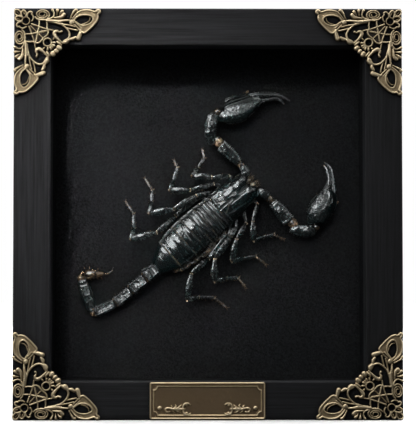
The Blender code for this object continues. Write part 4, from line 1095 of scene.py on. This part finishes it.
def make_tail():
    shape = Shape()
    for number, ((a0, b0), (a1, b1), width, height) in enumerate(TAIL + [TAIL_END]):
        last = number == 4
        if last:
            widths = [width * w for w in (0.62, 0.86, 1.0, 1.06, 1.0, 0.86, 0.62)]
        else:
            widths = [width * w for w in (0.72, 0.95, 0.98, 0.94, 0.97, 1.06, 0.9)]
        heights = [w * 0.95 for w in widths]
        rows = limb_rows((a0, b0, height), (a1, b1, height), widths, heights, 84)
        tube = Tube(rows, 88, 2.1, 0.07, 0.05)
        turn = tube.angle
        keels = sum(
            size * bell(np.angle(np.exp(1j * (turn - math.radians(place)))), 0.13)
            for place, size in ((52, 0.42), (128, 0.42), (12, 0.34), (168, 0.34), (-50, 0.3), (-130, 0.3))
        )
        furrow = -0.42 * bell(turn - math.pi / 2, 0.42) * ramp(tube.share, 0.05, 0.2) * ramp(
            1 - tube.share, 0.05, 0.2
        )
        swirl = max(0.0, 1.0 - 0.36 * number)
        folds = ridges(tube.points * np.array([0.8, 0.8, 0.8]), 2.9, 80 + number, 1)
        notches = 0.5 + 0.5 * np.sin(tube.share * math.tau * 9)
        bands = bell(tube.share - 0.9, 0.035) + bell(tube.share - 0.08, 0.03) - bell(tube.share - 0.83, 0.03)
        joint = np.array([a1 + 0.1 * (a0 - a1), b1 + 0.1 * (b0 - b1), height + 3.0])
        rings = np.linalg.norm((tube.points - joint) * np.array([0.75, 1.0, 0.6]), axis=2)
        rings = np.sin(rings * math.tau / 1.7 + 1.8 * field(tube.points, 3.2, 86 + number, 1))
        push = keels * (0.7 + 0.3 * notches) + furrow + 0.45 * swirl * (folds**2) + 0.2 * bands
        push = push + 0.12 * swirl * rings * top_side(tube)
        lean = 0.0 if last else TAIL_LEANS[number]
        tube.points[:, :, 2] -= lean * (tube.points[:, :, 1] - rows[:, 1][:, None]) * top_side(tube)
        push = push + crumple(tube.points, 0.45, (1.6, 1.6, 1.6), 90 + number)
        tube.push(push)
        spots = ramp(field(tube.points, 1.1, 120 + number), 0.1, 0.6)
        tube.paint(tan=(0.75 * bell(tube.share - 0.97, 0.03) + 0.45 * bell(tube.share, 0.04)) * spots)
        # Painted highlight: a pale tint on the crests of the folds and on the keels.
        tube.paint(dust_and_painted_sheen=0.06 * ramp(folds, 0.55, 0.95) * swirl + 0.05 * ramp(keels, 0.1, 0.4))
        tube.into(shape)
        if number < 4:
            ahead = np.array([a1 - a0, b1 - b0])
            ahead /= np.linalg.norm(ahead)
            for side in (-1, 1):
                across = np.array([-ahead[1], ahead[0]])
                spot = np.array([a1, b1]) + side * 0.62 * width * across - 0.3 * ahead
                bead(shape, (*spot, height + 1.9), (0.6, 0.45, 0.4), (0.85, 0, 0), direction=ahead)
    for place in ((-79.9, 4.5), (-72.9, 21.6)):
        bead(shape, (*place, 4.0), (1.9, 1.8, 1.8), (0.5, 0.0, 0.1), 20)
    for a, b in (
        (-76.0, 16.0), (-75.5, 10.8), (-66.0, 3.6), (-56.0, -3.6), (-60.5, 4.2), (-72.5, -1.6), (-46.0, 4.4)
    ):
        bristle(shape, (a, b, 4.6), (a + chance.uniform(-1, 1.2), b + chance.uniform(-1.6, 1.6), 6.2), 0.08)
    return shape


def make_telson():
    shape = Shape()
    tube = Tube(spline(TELSON, 120), 64, 2.0, 0.05, 0.02)
    bulb = ramp(0.55 - tube.share, -0.1, 0.15)
    tube.push(
        bulb * (crumple(tube.points, 0.35, (1.6, 1.6, 1.6), 150) + 0.06 * ridges(tube.points, 0.9, 151, 2))
    )
    dark_tip = ramp(tube.share, 0.88, 0.97)
    tube.paint(
        brown=1 - 0.8 * dark_tip, tan=0.2 * bell(tube.share - 0.68, 0.1) + 0.15 * bell(tube.share, 0.05)
    )
    tube.into(shape)
    for a, b, da, db in ((-66.6, 22.2, 1.0, 1.4), (-69.5, 18.5, -0.6, -1.8), (-67.0, 16.6, 0.4, -2.2),
                         (-65.2, 15.4, -0.1, -1.9), (-64.0, 18.9, 1.3, 1.2), (-68.4, 24.0, 0.5, 0.9)):
        bristle(shape, (a, b, 4.4), (a + da, b + db, 4.9), 0.09)
    return shape


def granules(shape, tube, region, count, size, seed, tint=(0.0, 0.55, 0.0)):
    """Small rounded warts set on a tube's surface where region says so (a share of the surface, 0 to 1)."""
    rings, sides = tube.points.shape[:2]
    weights = np.broadcast_to(region * (0.3 + top_side(tube)), (rings, sides)).ravel()
    weights = np.clip(weights, 0, None) / weights.sum()
    picker = np.random.default_rng(seed)
    for pick in picker.choice(rings * sides, count, replace=False, p=weights):
        spot = tube.points[pick // sides, pick % sides]
        bead(shape, spot, size * picker.uniform(0.7, 1.25), tint, 8)


# Depth of the folds, in mm; the left femur is the smoothest part of the arms
ARM_FOLDS, SMOOTH_FOLDS = 0.8, 0.35


def make_arm(side):
    shape = Shape()
    sign = 1 if side == "left" else -1
    data = ARMS[side]
    for name, seed in (("trochanter", 1), ("femur", 2), ("patella", 3)):
        rows = spline(data[name], 76 if name != "trochanter" else 40)
        tube = Tube(rows, 64, 2.5, 0.10, 0.08)
        turn = tube.angle
        keels = sum(
            size * bell(np.angle(np.exp(1j * (turn - math.radians(place)))), 0.12)
            for place, size in ((40, 0.34), (140, 0.34), (-20, 0.25), (200, 0.25))
        )
        teeth = 0.55 + 0.45 * np.sin(tube.share * math.tau * 13)
        folds = SMOOTH_FOLDS if side == "left" and name == "femur" else ARM_FOLDS
        push = keels * teeth + crumple(tube.points, folds, (1.3, 1.3, 1.3), 200 + seed + 5 * sign)
        tube.push(push)
        shade = ramp(field(tube.points, 2.0, 210 + seed), -0.2, 0.6)
        tube.paint(dust_and_painted_sheen=0.06 * shade * top_side(tube))
        rim = bell(tube.share - 0.98, 0.03) + bell(tube.share - 0.01, 0.03)
        tube.paint(tan=0.55 * rim * ramp(field(tube.points, 0.9, 220 + seed), -0.1, 0.4))
        tube.into(shape)
    for name, tan in (("knuckle", 0.35), ("elbow", 0.8), ("wrist", 0.35)):
        tube = Tube(spline(data[name], 26), 34, 2.0, 0.25, 0.25)
        tube.push(0.25 * ridges(tube.points, 1.4, 230, 2))
        tube.paint(tan=tan * ramp(field(tube.points, 1.2, 240), -0.6, 0.3)).into(shape)
    return shape


# The left claw's upper face leans back, and beyond CLAW_BAND's first number (mm) it falls off steeply
CLAW_LEAN = 0.2
CLAW_BAND = 1.5, 0.8


def claw_rows(side, sections):
    """Sections in the claw's own axes, put into the body's."""
    base, turn, _, _ = CLAWS[side]
    turn = math.radians(turn)
    rows = []
    for distance, offset, height, half_width, half_height in sections:
        along = base[0] + distance * math.cos(turn) - offset * math.sin(turn)
        across = base[1] + distance * math.sin(turn) + offset * math.cos(turn)
        rows.append((along, across, height, half_width, half_height))
    return rows


def arc(angle, place, width):
    """How near an angle round a tube is to a place in degrees, from 0 to 1."""
    return bell(np.angle(np.exp(1j * (angle - math.radians(place)))), width)


def make_claw(side):
    """The hand with its fixed finger: a smooth outer band, a ridge, and a granulated inner face."""
    shape = Shape()
    left = side == "left"
    tube = Tube(spline(claw_rows(side, CLAWS[side][2]), 230), 120, 2.15, 0.03, 0.01)
    turn, share = tube.angle, tube.share
    hand = ramp(share, 0.02, 0.10) * (1 - ramp(share, 0.50, 0.62))
    finger = ramp(share, 0.55, 0.66)
    rough_from, rough_to = (70, 118) if left else (25, 92)
    middle, reach = (rough_from + rough_to) / 2, (rough_to - rough_from) / 2
    off = np.degrees(np.abs(np.angle(np.exp(1j * (turn - math.radians(middle))))))
    rough = (1 - ramp(off, reach * 0.75, reach * 1.5)) * ramp(share, 0.05, 0.13) * (
        1 - ramp(share, 0.56, 0.72)
    )
    cells = ridges(tube.points, 0.95, 300 + left, 2)
    grains = field(tube.points, 0.62, 320 + left, 2)
    ridge_at, ridge_size = (62, 0.62) if left else (100, 0.25)
    keel = ridge_size * arc(turn, ridge_at, 0.085) * hand
    low_keel = 0.3 * arc(turn, 178, 0.14) * hand + 0.25 * arc(turn, 0, 0.12) * hand
    flat = -0.35 * arc(turn, middle, 0.5) * hand if left else 0
    finger_keel = finger * 0.16 * (arc(turn, 120, 0.2) + arc(turn, 50, 0.2)) * (
        0.6 + 0.4 * np.sin(share * 210)
    )
    push = keel + low_keel + flat + finger_keel + rough * (0.16 * cells + 0.11 * grains)
    push = push + crumple(tube.points, 0.55, (1, 1, 1), 340 + left) * (1 - rough) * (1 - 0.6 * finger)
    tube.push(push)
    side_way = np.array([-math.sin(math.radians(CLAWS[side][1])), math.cos(math.radians(CLAWS[side][1]))])
    lateral = (tube.points[:, :, :2] - np.array(CLAWS[side][0])) @ side_way
    tube.points[:, :, 2] -= (CLAW_LEAN if left else 0.0) * lateral * top_side(tube) * hand
    band = np.clip(lateral - CLAW_BAND[0], 0, None) * (CLAW_BAND[1] if left else 0.0)
    tube.points[:, :, 2] -= band * top_side(tube) * hand
    net = ramp(grains + 0.9 * (cells - 0.5), -0.45, 0.25)
    glow = 0.42 if left else 0.26
    tube.paint(dust_and_painted_sheen=glow * rough * net * (1 - 0.35 * ramp(share, 0.3, 0.5)))
    # Painted sheen: a pale tint, broken by the granules, along the fixed finger's lit side.
    tube.paint(dust_and_painted_sheen=0.06 * finger * arc(turn, 100 if left else 60, 0.55) * ramp(grains, -0.5, 0.3))
    tube.paint(tan=0.8 * ramp(share, 0.982, 0.995), brown=0.0)
    tube.into(shape)
    granules(
        shape, tube, rough * ramp(share, 0.1, 0.2), 150, 0.24, 360 + left, (0.0, 0.45 if left else 0.3, 0.0)
    )
    granules(shape, tube, finger * arc(turn, 150 if left else 20, 0.5), 60, 0.2, 362 + left, (0.0, 0.4, 0.0))
    hinge = claw_rows(side, [(13.4, 7.4 if left else -6.2, 5.6, 0, 0)])[0]
    bead(shape, hinge[:3], (0.95, 0.6, 0.55), (0.85, 0.0, 0.0), 14)
    for step in range(9):
        distance = 1.0 + 1.5 * step
        edge = np.interp(distance, *zip(*[(row[0], row[1] + row[3]) for row in CLAWS[side][2]]))
        low = np.interp(distance, *zip(*[(row[0], row[1] - row[3]) for row in CLAWS[side][2]]))
        for offset, sign in ((edge, 1), (low, -1)):
            if chance.random() < 0.45:
                continue
            spot = claw_rows(side, [(distance, offset * 0.97, 5.4, 0, 0)])[0][:3]
            tip = claw_rows(
                side, [(distance + 0.5, offset + sign * chance.uniform(0.6, 1.3), 6.0, 0, 0)]
            )[0][:3]
            bristle(shape, spot, tip, 0.075)
    return shape


def make_finger(side):
    shape = Shape()
    left = side == "left"
    tube = Tube(spline(claw_rows(side, CLAWS[side][3]), 130), 56, 2.4, 0.05, 0.01)
    turn, share = tube.angle, tube.share
    grains = field(tube.points, 0.5, 380 + left, 2)
    keels = 0.2 * arc(turn, 60, 0.2) + 0.2 * arc(turn, 125, 0.2) - 0.12 * arc(turn, 92, 0.2)
    tube.push(keels * (0.7 + 0.3 * np.sin(share * 190)) + 0.07 * grains)
    # Painted sheen: a pale tint, broken by the granules, along the finger's lit side.
    painted_lit_side = arc(turn, 120, 0.5) if left else arc(turn, 60, 0.4)
    tube.paint(dust_and_painted_sheen=(0.35 if left else 0.15) * painted_lit_side * ramp(grains, -0.5, 0.35) * ramp(share, 0.02, 0.2))
    tube.paint(tan=0.85 * ramp(share, 0.975, 0.99))
    tube.into(shape)
    inner = arc(turn, 178, 0.4) if left else arc(turn, 5, 0.4)
    granules(shape, tube, inner * ramp(share, 0.25, 0.35), 46, 0.2, 390 + left, (0.0, 0.5, 0.0))
    granules(shape, tube, arc(turn, 90, 1.2), 40, 0.17, 394 + left, (0.0, 0.5, 0.0))
    return shape


def make_jaw(side):
    """One of the two small pinching jaws in the notch of the carapace."""
    shape = Shape()
    sign = 1 if side == "left" else -1
    hand = spline([(20.2, 1.5 * sign, 5.4, 1.15, 1.4), (22.2, 1.45 * sign, 5.8, 1.3, 1.6),
                   (23.9, 1.35 * sign, 5.4, 1.05, 1.3), (24.7, 1.3 * sign, 5.0, 0.6, 0.8)], 40)
    tube = Tube(hand, 34, 2.1, 0.08, 0.1)
    tube.push(0.16 * field(tube.points, 0.8, 400, 2))
    spot = bell(tube.points[:, :, 0] - 23.0, 0.9) * bell(tube.points[:, :, 1] + 1.2, 0.9)
    patchy = ramp(field(tube.points, 0.7, 401), -0.4, 0.4)
    tube.paint(tan=np.clip(1.0 * spot + 0.35 * patchy, 0, 1), dust_and_painted_sheen=0.6 * spot).into(shape)
    for offset, bend in ((0.5, -0.4), (-0.4, 0.3)):
        rows = spline([(24.0, (1.3 + offset) * sign, 5.0, 0.42, 0.48), (
            25.2, (1.3 + offset * 1.2) * sign, 4.8, 0.34, 0.38
        ),
                       (26.2, (1.3 + offset + bend) * sign, 4.6, 0.1, 0.12)], 22)
        Tube(rows, 16, 2.0, 0.1, 0.02).paint(tan=0.3, brown=0.7).into(shape)
    for _ in range(22):
        spot = np.array(
            [chance.uniform(22.9, 25.2), sign * chance.uniform(0.3, 3.6), chance.uniform(4.6, 6.2)]
        )
        tip = spot + np.array(
            [chance.uniform(0.9, 2.4), sign * chance.uniform(-0.6, 1.4), chance.uniform(-0.4, 1.3)]
        )
        bristle(shape, spot, tip, 0.085, 0.2, (0.6, 0.2, 0.0))
    return shape


LEG_PARTS = [
    ("trochanter", (0.75, 1.05, 1.15, 1.0, 0.8), 22, 0.0),
    ("femur", (0.7, 1.05, 1.35, 1.5, 1.4, 1.1, 0.8), 34, 0.35),
    ("patella", (0.7, 1.15, 1.6, 1.85, 1.8, 1.5, 0.95), 38, 0.3),
    ("tibia", (0.7, 1.1, 1.3, 1.3, 1.1, 0.8), 28, 0.15),
    ("basitarsus", (0.55, 0.84, 0.92, 0.86, 0.68), 24, 0.1),
    ("tarsus", (0.42, 0.55, 0.55, 0.48, 0.34), 22, 0.1),
]
# How stout each leg's femur is, from the front pair to the hind pair
LEG_STOUTNESS = (0.82, 0.92, 1.18, 1.15)


def make_leg(name):
    shape = Shape()
    places = LEGS[name]
    seed = 400 + 10 * sorted(LEGS).index(name)
    picker = np.random.default_rng(seed)
    near = -1.0 if "right" in name else 1.0
    start = places[0]
    if name in HIND_HIPS:
        turn = HIND_HIPS[name]
        rows = spline([(*start, 0.9, 0.9), (*turn, 1.0, 1.0), *[(*places[1], 1.3, 1.3)]], 34)
        tube = Tube(rows, 24, 2.3, 0.05, 0.05)
        tube.push(0.15 * field(tube.points, 1.2, seed, 2)).paint(dust_and_painted_sheen=0.2).into(shape)
        start = turn
    stops = [start, *places[1:]]
    for number, (part, widths, count, bow) in enumerate(LEG_PARTS):
        begin, end = np.array(stops[number], float), np.array(stops[number + 1], float)
        ahead = (end - begin) / np.linalg.norm(end - begin)
        if part in ("trochanter", "femur"):
            widths = tuple(width * LEG_STOUTNESS[int(name[-1]) - 1] for width in widths)
        rows = limb_rows(
            begin - ahead * 0.25, end + ahead * 0.25, widths, [w * 0.95 for w in widths], count, bow
        )
        tube = Tube(rows, 28, 2.7, 0.09, 0.09)
        turn = tube.angle
        keels = sum(0.13 * arc(turn, place, 0.16) for place in (38, 142, -40, 220))
        tube.push(keels + crumple(tube.points, 0.5, (1.8, 1.8, 1.8), seed + number))
        if near < 0:
            tube.points[:, :, 2] += 0.3 * (tube.points[:, :, 1] - rows[:, 1][:, None]) * top_side(tube)
        # Painted sheen: a patchy pale tint on the legs' upper faces.
        painted_top_sheen = ramp(field(tube.points, 1.5, seed + 7), -0.5, 0.5) * top_side(tube)
        ends = bell(tube.share, 0.05) + bell(tube.share - 1, 0.06)
        tube.paint(dust_and_painted_sheen=(0.12 if number in (1, 2, 3, 4) else 0.05) * painted_top_sheen)
        tube.paint(tan=np.clip(0.75 * ends * ramp(field(tube.points, 0.8, seed + 8), -0.1, 0.4), 0, 1))
        if part == "tarsus":
            tube.paint(tan=0.08 + 0.22 * tube.share, brown=0.35)
        tube.into(shape)
        if number:
            size = 0.72 * widths[0] + 0.12
            bead(shape, begin, (size, size, size * 0.95), (0.45 + 0.3 * (number % 2), 0.0, 0.1), 14)
            side = np.array([-ahead[1], ahead[0], 0.0])
            for way in (-1, 1):
                bead(shape, begin + way * side * size * 1.05 + (0, 0, 0.55), 0.36, (0.95, 0.3, 0.0), 9)
        spread = {"femur": 3, "patella": 5, "tibia": 6, "basitarsus": 6, "tarsus": 7}.get(part, 0)
        for _ in range(spread):
            share = picker.uniform(0.15, 0.97)
            side = np.array([-ahead[1], ahead[0], 0.0]) * picker.choice((-1, 1))
            width = np.interp(share, np.linspace(0, 1, len(widths)), widths)
            spot = begin + (end - begin) * share + side * width * 0.85 + (0, 0, 0.2 * width)
            size = picker.uniform(0.5, 1.25)
            tip = spot + (side * 0.9 + ahead * 0.75) * size + (0, 0, picker.uniform(0.0, 0.5))
            bristle(shape, spot, tip, 0.075 if number < 5 else 0.06)
        if part in ("tibia", "basitarsus"):
            side = np.array([-ahead[1], ahead[0], 0.0])
            for way in (-1, 1):
                spot = end + way * side * 0.5
                bristle(shape, spot, spot + (way * side * 0.55 + ahead) * 1.25, 0.19, 0.1, (0.75, 0.2, 0.0))
    tip, before = np.array(places[-1], float), np.array(places[-2], float)
    ahead = (tip - before) / np.linalg.norm(tip - before)
    side = np.array([-ahead[1], ahead[0], 0.0])
    for way in (-1, 1):
        rows = spline([
            (*tip, 0.26, 0.26),
            (*(tip + ahead * 0.75 + way * side * 0.55 + (0, 0, 0.15)), 0.2, 0.2),
            (*(tip + ahead * 1.25 + way * side * 1.1 + (0, 0, -0.15)), 0.05, 0.05),
        ], 12)
        Tube(rows, 10, 2.0, 0.1, 0.02).paint(tan=0.35, brown=0.6).into(shape)
    return shape


def make_scorpion(material):
    builders = {
        "carapace": make_carapace,
        "abdomen": make_abdomen,
        "tail": make_tail,
        "telson": make_telson,
        "arm_left": lambda: make_arm("left"),
        "arm_right": lambda: make_arm("right"),
    }
    for side in ("left", "right"):
        builders["claw_" + side] = lambda side=side: make_claw(side)
        builders["finger_" + side] = lambda side=side: make_finger(side)
        builders["chelicera_" + side] = lambda side=side: make_jaw(side)
    for leg in LEGS:
        builders[leg] = lambda leg=leg: make_leg(leg)
    slots = {"telson": "sting", "chelicera_left": "jaws", "chelicera_right": "jaws"}
    for name, build in builders.items():
        made = build().make(name + "_shell")
        slot = "legs" if name in LEGS else slots.get(name, "cuticle")
        piece(made, material, slot, name)


# The frame's own nodes
def dress_frame():
    lying, standing = wood_surface("stained_wood_lying", True), wood_surface("stained_wood_standing", False)
    for side in ("top", "bottom"):
        dress("rail_" + side, lying)
    for side in ("left", "right"):
        dress("rail_" + side, standing)
    lining = lining_surface("black_lining")
    for side in ("top", "bottom", "left", "right"):
        dress("spacer_" + side, lining)
    dress("backing_board", lining)
    dress("glass_pane", glass_surface("clear_pane"))


# Stage, lamps and camera
def make_stage():
    floor = new_object(
        "floor",
        np.array([(-6, -6, 0), (6, -6, 0), (6, 6, 0), (-6, 6, 0)], float)
        + np.array([0, 0, FRAME_LOW[2] - 0.00005]),
        [(0, 1, 2, 3)],
    )
    surface = Surface("pale_floor")
    grain = surface.noise(surface.place, 3.0)
    material = surface.set(
        Base_Color=surface.mixed(surface.mapped(grain, 0.3, 0.7), (0.90, 0.90, 0.90), (0.92, 0.92, 0.92)),
        Roughness=0.9,
        Specular_IOR_Level=0.1,
    )
    floor.data.materials.append(material)
    floor.visible_diffuse = False
    floor.visible_glossy = False


SKY_COLOUR, SKY_STRENGTH = (0.92, 0.96, 1.0, 1.0), 0.022
SUN_STRENGTH, SUN_SPREAD, SUN_TILT = 3.65, 38.0, -4.0
MIDDLE = (0.0, BOARD_FRONT_Y, 0.1)
LOW_MIDDLE = (0.0, 0.0, 0.1)
BODY_MIDDLE = (-0.045, BOARD_FRONT_Y, 0.122)
WHITE, COOL = (1.0, 1.0, 1.0), (0.97, 0.985, 1.0)
# Area lamps: name, place, target, size, power, colour, spread in degrees, what they don't light
LAMPS = [
    ("key", (-0.60, -1.00, 0.80), MIDDLE, (1.05, 1.05), 11.3, COOL, 180.0, "visible_diffuse"),
    ("fill", (0.10, -1.30, 0.70), MIDDLE, (0.8, 0.5), 2.2, WHITE, 180.0, "visible_glossy"),
    ("spot", (-0.20, -0.62, 0.50), BODY_MIDDLE, (0.13, 0.13), 0.118, WHITE, 17.0, "visible_glossy"),
    ("side", (0.70, -0.85, 0.60), MIDDLE, (0.5, 0.5), 0.6, WHITE, 180.0, "visible_diffuse"),
    ("top_front", (0.0, -0.55, 1.20), MIDDLE, (1.2, 0.5), 5.2, WHITE, 180.0, "visible_diffuse"),
    ("back", (0.30, 1.30, 0.80), MIDDLE, (1.2, 0.9), 34.0, WHITE, 180.0, None),
    ("right_flank", (1.25, 0.30, 0.60), LOW_MIDDLE, (0.9, 0.9), 16.0, WHITE, 180.0, None),
    ("left_flank", (-1.25, 0.30, 0.60), LOW_MIDDLE, (0.9, 0.9), 16.0, WHITE, 180.0, None),
]
CAMERA_PLACE = (-0.006, WOOD_FRONT_Y - 0.700, 0.063)
CAMERA_TURN = (math.radians(92.0), 0.0, math.radians(-0.52))
CAMERA_LENS, CAMERA_SENSOR, CAMERA_SHIFT = 120.35, 36.0, (-0.002, 0.058)


def make_world():
    world = bpy.data.worlds.new("studio")
    bpy.context.scene.world = world
    world.use_nodes = True
    tree = world.node_tree
    tree.nodes.clear()
    dim = tree.nodes.new("ShaderNodeBackground")
    dim.inputs["Color"].default_value = SKY_COLOUR
    dim.inputs["Strength"].default_value = SKY_STRENGTH
    white = tree.nodes.new("ShaderNodeBackground")
    white.inputs["Color"].default_value = (1.0, 1.0, 1.0, 1.0)
    white.inputs["Strength"].default_value = 1.0
    path = tree.nodes.new("ShaderNodeLightPath")
    mix = tree.nodes.new("ShaderNodeMixShader")
    output = tree.nodes.new("ShaderNodeOutputWorld")
    tree.links.new(path.outputs["Is Camera Ray"], mix.inputs[0])
    tree.links.new(dim.outputs[0], mix.inputs[1])
    tree.links.new(white.outputs[0], mix.inputs[2])
    tree.links.new(mix.outputs[0], output.inputs["Surface"])


def make_sun():
    """Even soft light from above, which makes the pale floor white."""
    data = bpy.data.lights.new("overhead", "SUN")
    data.energy = SUN_STRENGTH
    data.angle = math.radians(SUN_SPREAD)
    lamp = bpy.data.objects.new("overhead", data)
    lamp.location = (0.0, 0.0, 2.0)
    lamp.rotation_euler = (math.radians(SUN_TILT), 0.0, 0.0)
    bpy.context.scene.collection.objects.link(lamp)


def make_lamp(name, place, target, size, power, colour, spread, spared):
    data = bpy.data.lights.new(name, "AREA")
    data.shape = "RECTANGLE"
    data.size, data.size_y = size
    data.energy = power
    data.color = colour
    data.spread = math.radians(spread)
    lamp = bpy.data.objects.new(name, data)
    lamp.location = place
    lamp.rotation_euler = (Vector(target) - Vector(place)).to_track_quat("-Z", "Y").to_euler()
    bpy.context.scene.collection.objects.link(lamp)
    if spared:
        setattr(lamp, spared, False)


def make_camera():
    data = bpy.data.cameras.new("camera")
    data.lens = CAMERA_LENS
    data.sensor_width = CAMERA_SENSOR
    data.shift_x, data.shift_y = CAMERA_SHIFT
    camera = bpy.data.objects.new("camera", data)
    camera.location = CAMERA_PLACE
    camera.rotation_euler = CAMERA_TURN
    bpy.context.scene.collection.objects.link(camera)
    bpy.context.scene.camera = camera


def main():
    scene = bpy.context.scene
    scene.view_settings.view_transform = "Standard"
    dress_frame()
    make_corners(brass_surface("antique_brass", METAL_BACK_Y - CORNER_CREST * MM, CORNER_DEPTH * MM))
    make_nameplate(brass_surface(
        "antique_brass_plate", METAL_BACK_Y - PLATE_CREST * MM, PLATE_DEPTH * MM, PLATE_LOW_COLOUR,
        PLATE_FLAT_COLOUR
    ))
    make_scorpion(cuticle_surface("cuticle"))
    make_stage()
    make_world()
    for lamp in LAMPS:
        make_lamp(*lamp)
    make_sun()
    make_camera()


main()
